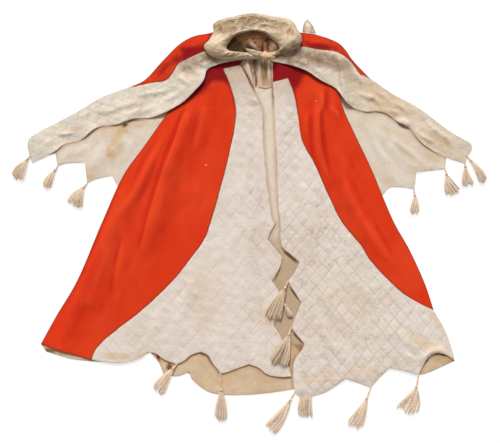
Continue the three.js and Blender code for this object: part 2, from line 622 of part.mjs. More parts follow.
// A lattice of cloth points over the outline: the top at full detail and a plain underside at every second
// point where coarse is 2. Quilted cloth stands up at every other point, and its cells are cut along the
// stitch lines between the points that stay down.
function latticeSlab({ outline, height, wall, step, turn = 0, coarse = 1, puff = 0 }) {
  const cos = Math.cos(turn);
  const sin = Math.sin(turn);
  const us = outline.map((p) => p.x * cos + p.y * sin);
  const vs = outline.map((p) => p.y * cos - p.x * sin);
  const block = { u: step.x * coarse, v: step.y * coarse };
  const firstOf = (values, pitch) => Math.floor(Math.min(...values) / pitch) - 1;
  const first = { u: firstOf(us, block.u), v: firstOf(vs, block.v) };
  const last = { u: Math.ceil(Math.max(...us) / block.u) + 1, v: Math.ceil(Math.max(...vs) / block.v) + 1 };
  const blocks = { u: last.u - first.u, v: last.v - first.v };
  const positions = [];
  const triangles = [];

  function addLattice(every, rise) {
    const start = positions.length / 3;
    const count = { u: (blocks.u * coarse) / every, v: (blocks.v * coarse) / every };
    for (let j = 0; j <= count.v; j += 1) {
      for (let i = 0; i <= count.u; i += 1) {
        const column = first.u * coarse + i * every;
        const row = first.v * coarse + j * every;
        const u = column * step.x;
        const v = row * step.y;
        const x = u * cos - v * sin;
        const y = u * sin + v * cos;
        positions.push(x, y, height(x, y) + rise(column + row));
      }
    }
    return { count, at: (i, j) => start + j * (count.u + 1) + i };
  }

  const stitched = (sum) => sum % 2 === 0;
  const top = addLattice(1, (sum) => wall + (stitched(sum) ? 0 : puff));
  const under = addLattice(coarse, () => 0);
  const corner = (first.u + first.v) * coarse;

  for (let j = 0; j < top.count.v; j += 1) {
    for (let i = 0; i < top.count.u; i += 1) {
      const [a, b, c, d] = [top.at(i, j), top.at(i + 1, j), top.at(i + 1, j + 1), top.at(i, j + 1)];
      triangles.push(...(stitched(corner + i + j) ? [a, b, c, a, c, d] : [a, b, d, b, c, d]));
    }
  }
  for (let j = 0; j < under.count.v; j += 1) {
    for (let i = 0; i < under.count.u; i += 1) {
      const [a, b, c, d] = [under.at(i, j), under.at(i + 1, j), under.at(i + 1, j + 1), under.at(i, j + 1)];
      triangles.push(a, c, b, a, d, c);
    }
  }

  // The four outer walls, with coarse top edges to each edge of the underside
  function addWall(length, topAt, underAt) {
    const middle = Math.ceil(coarse / 2);
    for (let k = 0; k < length; k += 1) {
      for (let s = 0; s < coarse; s += 1) {
        const near = s < coarse / 2 ? underAt(k) : underAt(k + 1);
        triangles.push(topAt(k * coarse + s + 1), topAt(k * coarse + s), near);
      }
      triangles.push(underAt(k), underAt(k + 1), topAt(k * coarse + middle));
    }
  }

  const { u: nu, v: nv } = under.count;
  const { u: tu, v: tv } = top.count;
  addWall(nu, (k) => top.at(k, 0), (k) => under.at(k, 0));
  addWall(nv, (k) => top.at(tu, k), (k) => under.at(nu, k));
  addWall(nu, (k) => top.at(tu - k, tv), (k) => under.at(nu - k, nv));
  addWall(nv, (k) => top.at(0, tv - k), (k) => under.at(0, nv - k));

  const geometry = new THREE.BufferGeometry();
  geometry.setAttribute('position', new THREE.Float32BufferAttribute(positions, 3));
  geometry.setIndex(triangles);
  return solidOf(geometry);
}

// Each piece is cut half a seam's gap inside its outline, so that pieces which share an edge stay apart
function clothPiece(options) {
  const cut = prismOf(drawnIn(options.outline, SEAM_GAP / 2));
  return latticeSlab(options).intersect(cut).simplify(TIDY);
}

function panelPiece(outline, height, wall, stepLength) {
  return clothPiece({ outline, height, wall, step: { x: stepLength, y: stepLength } });
}

function quiltedPiece(outline, height, turn) {
  const step = { x: QUILT_X, y: QUILT_Y };
  return clothPiece({ outline, height, wall: QUILTED, step, turn, coarse: 2, puff: PUFF });
}

// The rolled collar: an arch of cloth from the neck edge over its crest to the outer edge, open under the tie
function collarPiece() {
  const through = (columns) => new THREE.CatmullRomCurve3(COLLAR_SECTIONS.map(columns));
  const inner = through((s) => new THREE.Vector3(s.inX, s.inY, s.inZ));
  const outer = through((s) => new THREE.Vector3(s.outX, s.outY, s.outZ));
  const crests = through((s, i) => new THREE.Vector3(i * 10, s.crest, 0));
  const positions = [];
  const triangles = [];
  const loop = 2 * (COLLAR_ACROSS + 1);
  for (let i = 0; i <= COLLAR_ROUND; i += 1) {
    const share = i / COLLAR_ROUND;
    const from = inner.getPoint(share);
    const to = outer.getPoint(share);
    const crest = crests.getPoint(share).y;
    const inset = COLLAR_INSET / Math.hypot(to.x - from.x, to.y - from.y);
    const addPoint = (t, across, top, puff) => {
      const base = lerp(from.z, to.z, t);
      const rise = (top - base) * Math.sin(Math.PI * t) ** ARCH_POWER;
      positions.push(lerp(from.x, to.x, across), lerp(from.y, to.y, across), base + rise + puff);
    };
    for (let j = 0; j <= COLLAR_ACROSS; j += 1) {
      const t = (1 - Math.cos((Math.PI * j) / COLLAR_ACROSS)) / 2;
      const ends = Math.min(i, COLLAR_ROUND - i) < COLLAR_PLAIN_END;
      const raised = (i + j) % 2 === 1 && j > 0 && j < COLLAR_ACROSS && !ends;
      addPoint(t, t, crest, raised ? COLLAR_PUFF : 0);
    }
    for (let j = COLLAR_ACROSS; j >= 0; j -= 1) {
      const t = (1 - Math.cos((Math.PI * j) / COLLAR_ACROSS)) / 2;
      addPoint(t, lerp(inset, 1 - inset, t), crest - COLLAR_WALL, 0);
    }
  }
  for (let i = 0; i < COLLAR_ROUND; i += 1) {
    for (let j = 0; j < loop; j += 1) {
      const next = (j + 1) % loop;
      const [a, b, c, d] = [i * loop + j, i * loop + next, (i + 1) * loop + next, (i + 1) * loop + j];
      triangles.push(...((i + j) % 2 === 0 ? [a, c, b, a, d, c] : [a, d, b, b, d, c]));
    }
  }
  for (let j = 0; j < COLLAR_ACROSS; j += 1) {
    const start = [j, j + 1, loop - 2 - j, loop - 1 - j];
    const end = start.map((index) => COLLAR_ROUND * loop + index);
    triangles.push(start[0], start[1], start[2], start[0], start[2], start[3]);
    triangles.push(end[0], end[2], end[1], end[0], end[3], end[2]);
  }
  const geometry = new THREE.BufferGeometry();
  geometry.setAttribute('position', new THREE.Float32BufferAttribute(positions, 3));
  geometry.setIndex(triangles);
  return solidOf(geometry);
}

function knotPiece() {
  const geometry = new THREE.SphereGeometry(1, 12, 8);
  geometry.scale(KNOT.long, KNOT.across, KNOT.high);
  return solidOf(geometry.translate(KNOT.x, KNOT.y, KNOT.seat + KNOT.high));
}

function rod(from, to, startRadius, endRadius, sides) {
  const along = new THREE.Vector3().subVectors(to, from);
  const geometry = new THREE.CylinderGeometry(endRadius, startRadius, along.length(), sides);
  const turn = new THREE.Quaternion();
  turn.setFromUnitVectors(new THREE.Vector3(0, 1, 0), along.clone().normalize());
  geometry.applyQuaternion(turn);
  const centre = new THREE.Vector3().addVectors(from, to).multiplyScalar(0.5);
  return solidOf(geometry.translate(centre.x, centre.y, centre.z));
}

// The height of the cloth's point that a tassel is sewn to, and the height that its ends lie at
const TASSEL_START = {
  cape: (x, y) => capeHeight(x, y) + QUILTED / 2,
  lining: () => CAPE_LINING_Z,
  front: (x, y) => frontHeight(x, y) + QUILTED / 2,
};
const TASSEL_BED = {
  floor: () => FLOOR_GAP,
  border: (x, y) => frontHeight(x, y) + QUILTED + PUFF + LAYER_GAP,
  facing: (x, y) => onCape(y) + FACING_Z + WOOL + LAYER_GAP,
};

function tasselPiece({ x, y, endX, endY, cord, half, from, over = 'floor' }) {
  const start = new THREE.Vector3(x, y, TASSEL_START[from](x, y));
  const ahead = new THREE.Vector3(endX - x, endY - y, 0);
  const length = ahead.length();
  ahead.normalize();
  const aside = new THREE.Vector3(-ahead.y, ahead.x, 0);
  const bed = TASSEL_BED[over](endX, endY);
  const headBed = from === 'front' && over === 'floor' ? TASSEL_BED.floor() + ROBE_LINING_Z + LINING : bed;
  const head = start.clone().addScaledVector(ahead, cord);
  head.z = Math.max(start.z, headBed + TASSEL_HEAD.high);
  const tip = start.clone().addScaledVector(ahead, TASSEL_CORD.gap);
  const tied = start.clone().addScaledVector(ahead, TASSEL_CORD.taper);
  tied.z = Math.max(start.z, lerp(start.z, head.z, TASSEL_CORD.taper / cord));

  const ball = new THREE.SphereGeometry(1, 6, 3);
  ball.scale(TASSEL_HEAD.long, TASSEL_HEAD.across, TASSEL_HEAD.high);
  ball.rotateZ(Math.atan2(ahead.y, ahead.x));
  let tassel = solidOf(ball.translate(head.x, head.y, head.z));
  tassel = tassel.add(rod(tip, tied, TASSEL_CORD.start, TASSEL_CORD.thick, TASSEL_CORD.sides));
  tassel = tassel.add(rod(tied, head, TASSEL_CORD.thick, TASSEL_CORD.thick, TASSEL_CORD.sides));
  for (let i = 0; i < STRANDS; i += 1) {
    const across = (2 * i) / (STRANDS - 1) - 1;
    const raised = i % 2;
    const root = head.clone().addScaledVector(aside, across * TASSEL_HEAD.across * ROOTS.spread);
    root.z += ROOTS.low + raised * ROOTS.rise;
    const end = start.clone().addScaledVector(ahead, length * (1 - ROOTS.shorter * raised));
    end.addScaledVector(aside, across * half);
    end.z = bed + STRAND.tip + raised * STRAND.lift;
    tassel = tassel.add(rod(root, end, STRAND.root, STRAND.tip, STRAND.sides));
  }
  return tassel.simplify(TIDY);
}

// The scene

const robe = new THREE.Group();

function addPiece(name, solid, colour, roughness = 0.85) {
  const material = new THREE.MeshStandardMaterial({ color: colour, roughness, metalness: 0 });
  const mesh = new THREE.Mesh(geometryOf(solid), material);
  mesh.name = name;
  robe.add(mesh);
}

const LEAN = { left: 0.5, right: -0.52, border: 0 };

addPiece('cape_back', panelPiece(outlines.capeBack, () => 0, WOOL, BACK_STEP), COLOURS.red);
addPiece(
  'cape_lining',
  panelPiece(outlines.capeBack, capeLiningHeight, LINING, FACING_STEP),
  COLOURS.wingLining,
);
addPiece('robe_back', panelPiece(outlines.robeBack, (x, y) => onCape(y), WOOL, BACK_STEP), COLOURS.red);
addPiece(
  'robe_back_lining',
  panelPiece(outlines.robeBack, (x, y) => onCape(y) + ROBE_LINING_Z, LINING, BACK_STEP),
  COLOURS.backLining,
);
addPiece(
  'front_facing',
  panelPiece(outlines.facing, (x, y) => onCape(y) + FACING_Z, WOOL, FACING_STEP),
  COLOURS.facing,
);
addPiece('front_left_red', panelPiece(outlines.leftRed, frontHeight, RED_PANEL, PANEL_STEP), COLOURS.red);
addPiece('front_right_red', panelPiece(outlines.rightRed, frontHeight, RED_PANEL, PANEL_STEP), COLOURS.red);
addPiece(
  'front_left_border',
  quiltedPiece(outlines.leftBorder, frontHeight, LEAN.border),
  COLOURS.quilted,
  0.6,
);
addPiece(
  'front_right_border',
  quiltedPiece(outlines.rightBorder, frontHeight, LEAN.border),
  COLOURS.quilted,
  0.6,
);
addPiece('cape_left_red', panelPiece(outlines.capeLeftRed, capeHeight, RED_PANEL, PANEL_STEP), COLOURS.red);
addPiece('cape_right_red', panelPiece(outlines.capeRightRed, capeHeight, RED_PANEL, PANEL_STEP), COLOURS.red);
addPiece('cape_left_band', quiltedPiece(outlines.capeLeftBand, capeHeight, LEAN.left), COLOURS.band, 0.65);
addPiece('cape_right_band', quiltedPiece(outlines.capeRightBand, capeHeight, LEAN.right), COLOURS.band, 0.65);
addPiece('collar', collarPiece(), COLOURS.collar, 0.7);
addPiece('neck_tie_knot', knotPiece(), COLOURS.tie);
for (const side of ['Left', 'Right']) {
  const height = (x, y) => onCape(y) + FRONT_Z;
  const tail = panelPiece(outlines[`tieTail${side}`], height, TIE_WALL, PANEL_STEP);
  addPiece(`neck_tie_tail_${side.toLowerCase()}`, tail, COLOURS.tie);
}
const besideCape = drawnIn(outlines.capeBack, -SEAM_GAP);
const point = panelPiece(outlines.collarPoint, () => FLOOR_GAP, COLLAR_WALL / 2, PANEL_STEP);
addPiece('collar_point', point.subtract(prismOf(besideCape)).simplify(TIDY), COLOURS.collar, 0.7);
for (const row of TASSELS) {
  addPiece(row.name, tasselPiece(row), COLOURS.tassel);
}

// The origin is in the middle of the whole robe, at the surface that it lies on
const box = new THREE.Box3().setFromObject(robe);
const middle = box.getCenter(new THREE.Vector3());
robe.position.set(-middle.x, -middle.y, -box.min.z);

export default robe;
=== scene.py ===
"""Cloth, quilting and tassels of a ceremonial robe with a shoulder cape, laid flat on its back.

Sizes in the tables are millimetres on the table top that the robe lies on, with the hem towards -Y, the
collar towards +Y and +Z up. Left and right are the viewer's.
"""

import math

import bmesh
import bpy
import numpy as np
from bpy.props import FloatProperty, FloatVectorProperty, IntProperty, PointerProperty
from bpy.types import Operator, Panel, PropertyGroup
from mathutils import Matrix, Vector


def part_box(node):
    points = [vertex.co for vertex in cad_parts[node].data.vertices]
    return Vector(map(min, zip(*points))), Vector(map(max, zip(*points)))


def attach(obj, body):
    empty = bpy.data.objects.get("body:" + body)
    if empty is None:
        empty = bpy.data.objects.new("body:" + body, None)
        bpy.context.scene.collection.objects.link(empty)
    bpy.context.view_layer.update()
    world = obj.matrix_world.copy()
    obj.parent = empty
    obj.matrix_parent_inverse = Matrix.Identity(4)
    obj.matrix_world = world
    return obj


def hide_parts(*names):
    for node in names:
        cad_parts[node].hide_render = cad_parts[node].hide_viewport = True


bl_info = {
    "name": "Ceremonial robe",
    "version": (1, 0, 0),
    "blender": (4, 5, 0),
    "location": "View3D > Sidebar > Robe",
    "description": "Builds the cloth, quilting and tassels of a ceremonial robe that lies flat",
    "category": "Add Mesh",
}

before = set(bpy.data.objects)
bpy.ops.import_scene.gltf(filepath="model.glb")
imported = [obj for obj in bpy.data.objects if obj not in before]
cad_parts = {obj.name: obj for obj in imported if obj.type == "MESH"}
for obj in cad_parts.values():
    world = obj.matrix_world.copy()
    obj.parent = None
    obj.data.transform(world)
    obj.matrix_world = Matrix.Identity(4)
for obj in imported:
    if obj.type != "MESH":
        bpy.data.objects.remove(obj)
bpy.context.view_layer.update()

MM = 0.001

# The knot's middle, which says where the table's zero lies in the row frame
KNOT_X = 57
KNOT_Y = 589
knot_low, knot_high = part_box("neck_tie_knot")
SHIFT = np.array([
    (knot_low.x + knot_high.x) / 2 - KNOT_X * MM,
    (knot_low.y + knot_high.y) / 2 - KNOT_Y * MM,
    0.0,
])

# Cloth walls, layer gaps and the heights of the layers' undersides
WOOL = 1.4
LINING = 1.2
RED_PANEL = 1.9
QUILTED = 2.6
LAYER_GAP = 0.4
PUFF = 2.4
CAPE_LINING_Z = WOOL + LAYER_GAP
ROBE_BACK_Z = CAPE_LINING_Z + LINING + LAYER_GAP
ROBE_LINING_Z = WOOL + LAYER_GAP
FACING_Z = ROBE_LINING_Z + LINING + LAYER_GAP
FRONT_Z = FACING_Z + WOOL + LAYER_GAP
CAPE_EDGE_Z = ROBE_BACK_Z
CAPE_OVER_Z = ROBE_BACK_Z + FRONT_Z + QUILTED + PUFF + LAYER_GAP
# Walls of the drawn cloth, which is thinner than the solids that it replaces
PLAIN_WALL = 1.2
LINING_WALL = 1.0
RED_WALL = 1.5
QUILTED_WALL = 2.2
FLOOR_GAP = 0.4
FLOOR_CLEAR = 0.15
SLOPE_LENGTH = 312
SIDE_RISE = 70
HEM_DROP = 40
HEM_DROP_UNTIL = 560
FLAT_MARGIN = 50
CAPE_SHADE = 60
CAPE_RISE_FROM = -80
CAPE_RISE_TO = 40

# Quilting: half a diamond across and along, how many cloth cells make up each, and the turn of each band's
QUILT_X = 23
QUILT_Y = 27
QUILT_CELLS = 6
LEAN_LEFT = 0.5
LEAN_RIGHT = -0.52
STITCH_LENGTH = 4.2
STITCH_HALF_WIDTH = 0.8

# How much of the full puff each border and the bands keep, and the turn of each red front's grain
LEFT_PUFF = 0.28
RIGHT_PUFF = 0.5
BAND_PUFF = 0.22
LEFT_GRAIN = 1.15
RIGHT_GRAIN = -1.3

# Spacing of the points along an outline that is cut, and along one that only heights are measured from
CUT_STEP = 4
HEIGHT_STEP = 34

# Points of an outline closer than this are one point
SAME_POINT = 1
# Points of a mesh closer than this are one point
WELD = 0.05
# How near an outline a cell's corner is moved onto it, as a share of the cell
EDGE_REACH = 0.56
# Below this cosine between its two edges, an outline's point is a corner that the mesh keeps
CORNER_COSINE = 0.86
SHARP_DEGREES = 55

# Outline edges: x, y, and 1 at a sharp corner
CAPE_SHOULDER_LEFT = (
    (-100, 692), (-133, 675), (-199, 661), (-248, 633), (-317, 563), (-371, 507), (-427, 481),
)
CAPE_WING_LEFT = (
    (-427, 481), (-518, 448), (-595, 402), (-679, 357), (-742, 325), (-774, 301), (-779, 280),
    (-772, 240, 1), (-763, 217),
)
BAND_EDGE_LEFT = (
    (28, 581), (-49, 574), (-115, 560), (-150, 542), (-161, 507), (-192, 469), (-234, 430), (-294, 395),
    (-350, 375), (-406, 373), (-465, 353), (-539, 339), (-595, 297), (-651, 283), (-690, 253), (-763, 217),
)
BAND_SEAM_LEFT = (
    (-92, 628), (-157, 609), (-206, 588), (-252, 563), (-269, 535), (-294, 508), (-350, 497), (-427, 481),
)
CAPE_NECK_FRONT_LEFT = (
    (28, 581, 1), (28, 596, 1), (-30, 598), (-78, 607), (-92, 628),
)
CAPE_NECK_BACK_LEFT = (
    (-92, 628), (-88, 660), (-78, 690, 1), (-100, 692),
)
CAPE_SHOULDER_RIGHT = (
    (125, 692), (168, 676), (229, 668), (311, 637), (336, 612), (357, 581), (420, 514),
)
CAPE_WING_RIGHT = (
    (420, 514), (502, 458), (586, 413), (668, 352), (724, 313), (774, 285), (779, 268), (762, 240, 1),
    (754, 215),
)
BAND_EDGE_RIGHT = (
    (62, 581), (77, 573), (133, 561), (196, 539), (245, 507), (301, 476), (335, 430), (367, 408),
    (407, 397), (463, 395), (525, 357), (558, 339), (591, 297), (637, 262), (686, 238), (754, 215),
)
BAND_SEAM_RIGHT = (
    (112, 632), (182, 625), (227, 617), (311, 603), (357, 568), (385, 530), (420, 514),
)
CAPE_NECK_FRONT_RIGHT = (
    (62, 581, 1), (62, 596, 1), (90, 601), (108, 612), (112, 632),
)
CAPE_NECK_BACK_RIGHT = (
    (112, 632), (104, 660), (92, 690, 1), (125, 692),
)
CAPE_BACK_NECK = (
    (-100, 692), (-40, 700), (20, 702), (80, 700), (125, 692),
)
CAPE_HEM = (
    (-763, 217, 1), (-722, 238), (-682, 252, 1), (-674, 206, 1), (-654, 214), (-635, 217), (-579, 220, 1),
    (-574, 178), (-570, 148, 1), (-539, 161), (-483, 173, 1), (-472, 150), (-437, 87, 1), (-230, 50),
    (0, 35), (230, 48), (437, 77, 1), (465, 104), (490, 131), (535, 132), (575, 126, 1), (581, 157),
    (583, 185, 1), (625, 190), (684, 196, 1), (688, 242, 1), (754, 215),
)
ROBE_SIDE_LEFT = (
    (-245, 455), (-294, 385), (-373, 273), (-441, 178), (-518, 10), (-607, -198), (-680, -321),
    (-733, -417),
)
ROBE_SIDE_RIGHT = (
    (316, 450), (329, 402), (367, 318), (423, 201), (504, 10), (558, -86), (614, -209), (644, -299),
)
BORDER_SIDE_RIGHT = (
    (644, -299), (681, -366), (703, -421), (717, -477),
)
SHOULDERS = (
    (-245, 455), (-232, 510), (-210, 556, 1), (-120, 612), (-60, 668), (16, 688), (92, 668), (180, 612),
    (297, 556, 1), (310, 500), (316, 450),
)
BACK_HEM = (
    (-733, -417, 1), (-714, -444, 1), (-612, -472), (-423, -476), (-350, -446, 1), (-317, -488),
    (-303, -524, 1), (-257, -531), (-213, -517, 1), (-204, -540), (-154, -581), (-112, -594), (7, -595),
    (154, -576), (280, -553), (336, -529), (423, -529), (486, -494), (535, -503), (591, -525), (717, -477),
)
SEAM_LEFT = (
    (-94, 547), (-70, 492), (-50, 408), (-54, 341), (-71, 257), (-99, 146), (-138, 10), (-161, -52),
    (-205, -114), (-273, -198), (-385, -304), (-472, -371), (-518, -410), (-542, -438), (-556, -472),
)
SEAM_RIGHT = (
    (133, 514), (154, 458), (168, 385), (182, 297), (224, 218), (268, 118), (322, 10), (391, -75),
    (423, -126), (502, -209), (558, -254), (644, -299),
)
BORDER_TOP_LEFT = (
    (-94, 547), (-35, 560),
)
BORDER_TOP_RIGHT = (
    (133, 514), (80, 500),
)
RED_TOP_LEFT = (
    (-35, 560, 1), (-14, 596, 1), (-110, 594), (-210, 556, 1), (-232, 510), (-245, 455),
)
RED_TOP_RIGHT = (
    (80, 500, 1), (80, 596, 1), (190, 592), (297, 556, 1), (310, 500), (316, 450),
)
FRONT_EDGE_LEFT = (
    (-35, 560), (7, 480), (42, 402), (46, 297), (63, 122), (78, 20, 1), (91, 6, 1), (76, -20), (63, -50, 1),
    (94, -87), (112, -111, 1), (104, -150), (78, -195, 1), (103, -238), (119, -273, 1), (104, -316),
    (84, -353, 1), (110, -395), (126, -430, 1), (132, -480), (147, -531),
)
FRONT_EDGE_RIGHT = (
    (80, 500), (87, 367), (98, 87), (104, 16), (112, -77), (136, -98), (171, -130, 1), (161, -154),
    (133, -197, 1), (144, -216), (178, -271, 1), (167, -303), (144, -360, 1), (161, -383), (190, -417, 1),
    (182, -436), (157, -472), (150, -521), (156, -588),
)
RED_HEM_LEFT = (
    (-556, -472), (-680, -437), (-733, -417),
)
BORDER_HEM_LEFT = (
    (-556, -472), (-512, -480), (-462, -485), (-423, -480), (-385, -467), (-357, -445, 1), (-331, -450),
    (-300, -472), (-257, -488, 1), (-231, -477), (-206, -456), (-174, -445, 1), (-149, -456), (-128, -488),
    (-103, -520, 1), (-82, -517), (-45, -503), (-3, -488, 1), (26, -499), (62, -524), (108, -533),
    (147, -531),
)
BORDER_HEM_RIGHT = (
    (156, -588, 1), (173, -602), (196, -604, 1), (217, -602), (262, -588), (296, -567), (335, -539, 1),
    (380, -554), (423, -572, 1), (451, -539), (486, -502, 1), (535, -511), (591, -527, 1), (609, -488),
    (630, -461), (658, -449), (692, -458), (717, -477),
)
FACING = (
    (-12, 590, 1), (-26, 555), (10, 400), (18, 87), (20, -87), (36, -262), (50, -420, 1), (215, -420, 1),
    (210, -262), (180, -87), (150, 87), (150, 367), (140, 590, 1),
)
TIE_TAIL_LEFT = (
    (-3, 594, 1), (-27, 556, 1), (15, 478, 1), (11, 520), (4, 556), (6, 594, 1),
)
TIE_TAIL_RIGHT = (
    (32, 594, 1), (29, 545), (24, 510, 1), (30, 482, 1), (54, 477), (76, 482, 1), (72, 594, 1),
)
COLLAR_POINT = (
    (184, 675.5, 1), (187, 697), (193, 713), (200, 720), (208, 714), (221, 696), (232, 670.5, 1),
)

# Broad folds of the laid cloth: x and y of both ends, width and height
FRONT_FOLDS = (
    (-199, 440, -294, 203, 30, 5),
    (-294, 203, -350, -10, 44, 5),
    (-345, 10, -665, -402, 50, 4),
    (-487, -18, -563, -262, 30, 4),
    (245, 470, 332, 87, 32, 5),
    (300, 400, 350, 290, 24, 3),
    (120, 60, 300, -420, 60, 2),
    (-20, 100, -120, -400, 60, 2),
)
WING_FOLDS = (
    (400, 360, 640, 215, 26, 5),
    (500, 270, 595, 200, 22, 4),
    (-440, 320, -580, 190, 34, 4),
)
CAPE_FOLDS = (
    (311, 590, 336, 440, 26, 6),
    (-285, 560, -225, 440, 30, 5),
    (-430, 470, -410, 380, 34, 4),
    (-600, 390, -560, 320, 30, 4),
    (520, 440, 480, 400, 34, 4),
    (660, 345, 600, 300, 30, 4),
)

# Creases, each a soft ridge or trough: the points that its line passes, its width on the left and on the
# right of that line as one goes along it, and its height, which is below zero in a trough
RED_CREASES = (
    (((-190, 478), (-218, 407), (-240, 353), (-262, 292), (-287, 228), (-308, 168), (-330, 100), (-352, 30),
      (-372, -50), (-396, -130)), 38, 5, 8),
    (((-214, 440), (-234, 400), (-253, 353), (-274, 292), (-299, 228), (-320, 168), (-340, 110)), 5, 10, -3),
    (((-262, 400), (-297, 329), (-325, 270), (-353, 220), (-381, 157), (-406, 105), (-455, 42), (-490, 0)),
     16, 16, 6),
    (((-370, 250), (-430, 140), (-485, 30), (-535, -80), (-585, -200), (-640, -320), (-668, -390)),
     50, 26, 11),
    (((-420, 10), (-444, -80), (-459, -140), (-470, -215), (-480, -320)), 24, 10, 3),
    (((-250, 210), (-300, 90), (-345, -20), (-390, -130), (-430, -230)), 36, 22, 3.4),
    (((-150, 470), (-165, 380), (-182, 300), (-190, 220)), 26, 14, 4),
    (((-120, 420), (-150, 330), (-200, 180), (-260, 60)), 30, 30, -3),
    (((-400, -140), (-450, -240), (-500, -330), (-540, -400)), 34, 24, 3),
    (((-205, 470), (-150, 486), (-110, 500)), 10, 12, 3.5),
    (((-214, 392), (-150, 404), (-76, 400)), 8, 22, 0.9),
    (((-196, 470), (-206, 440), (-222, 400)), 5, 12, 3.5),
    (((264, 520), (264, 450), (268, 370)), 14, 7, -2.6),
    (((228, 460), (236, 350), (250, 230)), 7, 12, 2.4),
    (((276, 430), (296, 400), (322, 380)), 5, 9, 2.4),
    (((300, 300), (330, 220), (380, 120)), 14, 22, 2.4),
    (((258, 500), (256, 427), (243, 392), (243, 329), (256, 230), (290, 120)), 5, 20, 7),
    (((214, 440), (222, 370), (230, 273), (252, 180)), 12, 12, 3),
    (((283, 470), (296, 430), (308, 392), (322, 350)), 6, 12, 5),
    (((322, 280), (318, 195), (350, 105), (420, -35), (480, -140)), 20, 36, 6),
    (((200, 420), (196, 350), (204, 280)), 12, 16, 3),
    (((400, 40), (450, -60), (520, -170)), 14, 28, 4),
)
BORDER_CREASES = (
    (((-6, 444), (14, 438), (30, 420)), 6, 6, 2.2),
    (((-16, 424), (6, 416), (34, 428)), 5, 7, -1.6),
    (((-30, 470), (-14, 380), (-6, 280), (-14, 160), (-40, 20)), 20, 12, 2.6),
    (((20, 330), (24, 200), (18, 60), (4, -80)), 16, 10, 2.2),
    (((-60, 40), (-70, -90), (-78, -220), (-70, -340)), 26, 14, 2.6),
    (((-170, -120), (-210, -230), (-250, -330), (-262, -420)), 30, 20, 2.4),
    (((-300, -260), (-330, -340), (-370, -420)), 24, 14, 2),
    (((20, -120), (28, -240), (24, -380), (10, -470)), 22, 26, -2),
    (((118, 470), (126, 360), (130, 240), (140, 120)), 12, 18, 2),
    (((170, 200), (190, 60), (232, -80)), 26, 20, 2.2),
    (((200, -140), (250, -240), (330, -330), (420, -400)), 22, 26, 2.6),
    (((280, -120), (380, -220), (500, -300)), 26, 20, 2),
    (((230, -330), (300, -430), (380, -500)), 20, 16, 2.4),
    (((450, -330), (540, -400), (620, -440)), 22, 22, 2.4),
    (((520, -430), (560, -462), (606, -470)), 10, 14, 2),
    (((596, -500), (622, -452), (662, -440), (700, -462)), 12, 8, 5),
)
LINING_CREASES = (
    (((462, 322), (520, 286), (570, 246), (612, 205)), 14, 9, 4),
    (((440, 300), (500, 250), (560, 206)), 10, 16, -1.6),
    (((486, 372), (560, 322), (620, 268), (664, 214)), 16, 10, 3.4),
    (((400, 372), (430, 300), (470, 230), (500, 150)), 18, 12, 3),
    (((420, 250), (440, 190), (470, 120)), 14, 10, 2.4),
    (((580, 300), (630, 262), (676, 214)), 10, 8, 2.4),
    (((-430, 330), (-470, 270), (-500, 190)), 16, 22, 2.4),
    (((-500, 322), (-530, 260), (-556, 180)), 16, 12, 3),
    (((-560, 290), (-590, 262), (-640, 236)), 12, 10, 2.2),
    (((-380, 340), (-425, 250), (-455, 130)), 14, 22, 2.2),
    (((-620, 270), (-650, 240), (-664, 216)), 9, 9, 1.8),
)
BAND_CREASES = (
    (((-690, 322), (-650, 318), (-604, 326)), 7, 5, 3),
    (((-680, 308), (-640, 302), (-596, 312)), 6, 8, -2.2),
    (((-560, 400), (-500, 396), (-430, 420), (-360, 440)), 12, 8, 3),
    (((-520, 372), (-450, 380), (-380, 402), (-300, 420)), 10, 12, 2.6),
    (((-420, 446), (-350, 462), (-290, 470), (-250, 490)), 10, 8, 3),
    (((-330, 430), (-270, 450), (-215, 486)), 9, 9, 2.6),
    (((-262, 528), (-226, 500), (-196, 480)), 12, 8, 4),
    (((-240, 570), (-200, 546), (-168, 520)), 10, 10, 3),
    (((-200, 590), (-160, 560), (-120, 566)), 10, 10, 3),
    (((-640, 380), (-590, 384), (-540, 410)), 9, 7, 2.4),
    (((-470, 400), (-440, 392), (-410, 384)), 6, 8, 2),
    (((312, 596), (318, 542), (332, 440), (336, 424)), 22, 6, 7),
    (((300, 590), (304, 540), (316, 470)), 8, 14, -2.4),
    (((356, 548), (380, 520), (398, 480)), 10, 8, 3),
    (((372, 470), (410, 452), (446, 452)), 7, 9, 3),
    (((400, 434), (432, 446), (452, 424), (468, 398)), 9, 6, 4.4),
    (((440, 470), (474, 452), (500, 420)), 8, 8, 3),
    (((500, 440), (540, 408), (566, 372)), 10, 8, 3),
    (((520, 372), (540, 366), (566, 344)), 10, 7, 5),
    (((592, 318), (616, 302), (648, 284)), 8, 5, 4),
    (((610, 372), (640, 344), (668, 312)), 10, 9, 3),
    (((660, 330), (690, 300), (716, 262)), 10, 8, 3),
    (((180, 600), (230, 588), (290, 560)), 12, 12, 3.4),
    (((130, 584), (190, 566), (250, 530), (290, 500)), 14, 8, 4),
    (((456, 400), (500, 398), (540, 372)), 8, 8, 2.4),
)

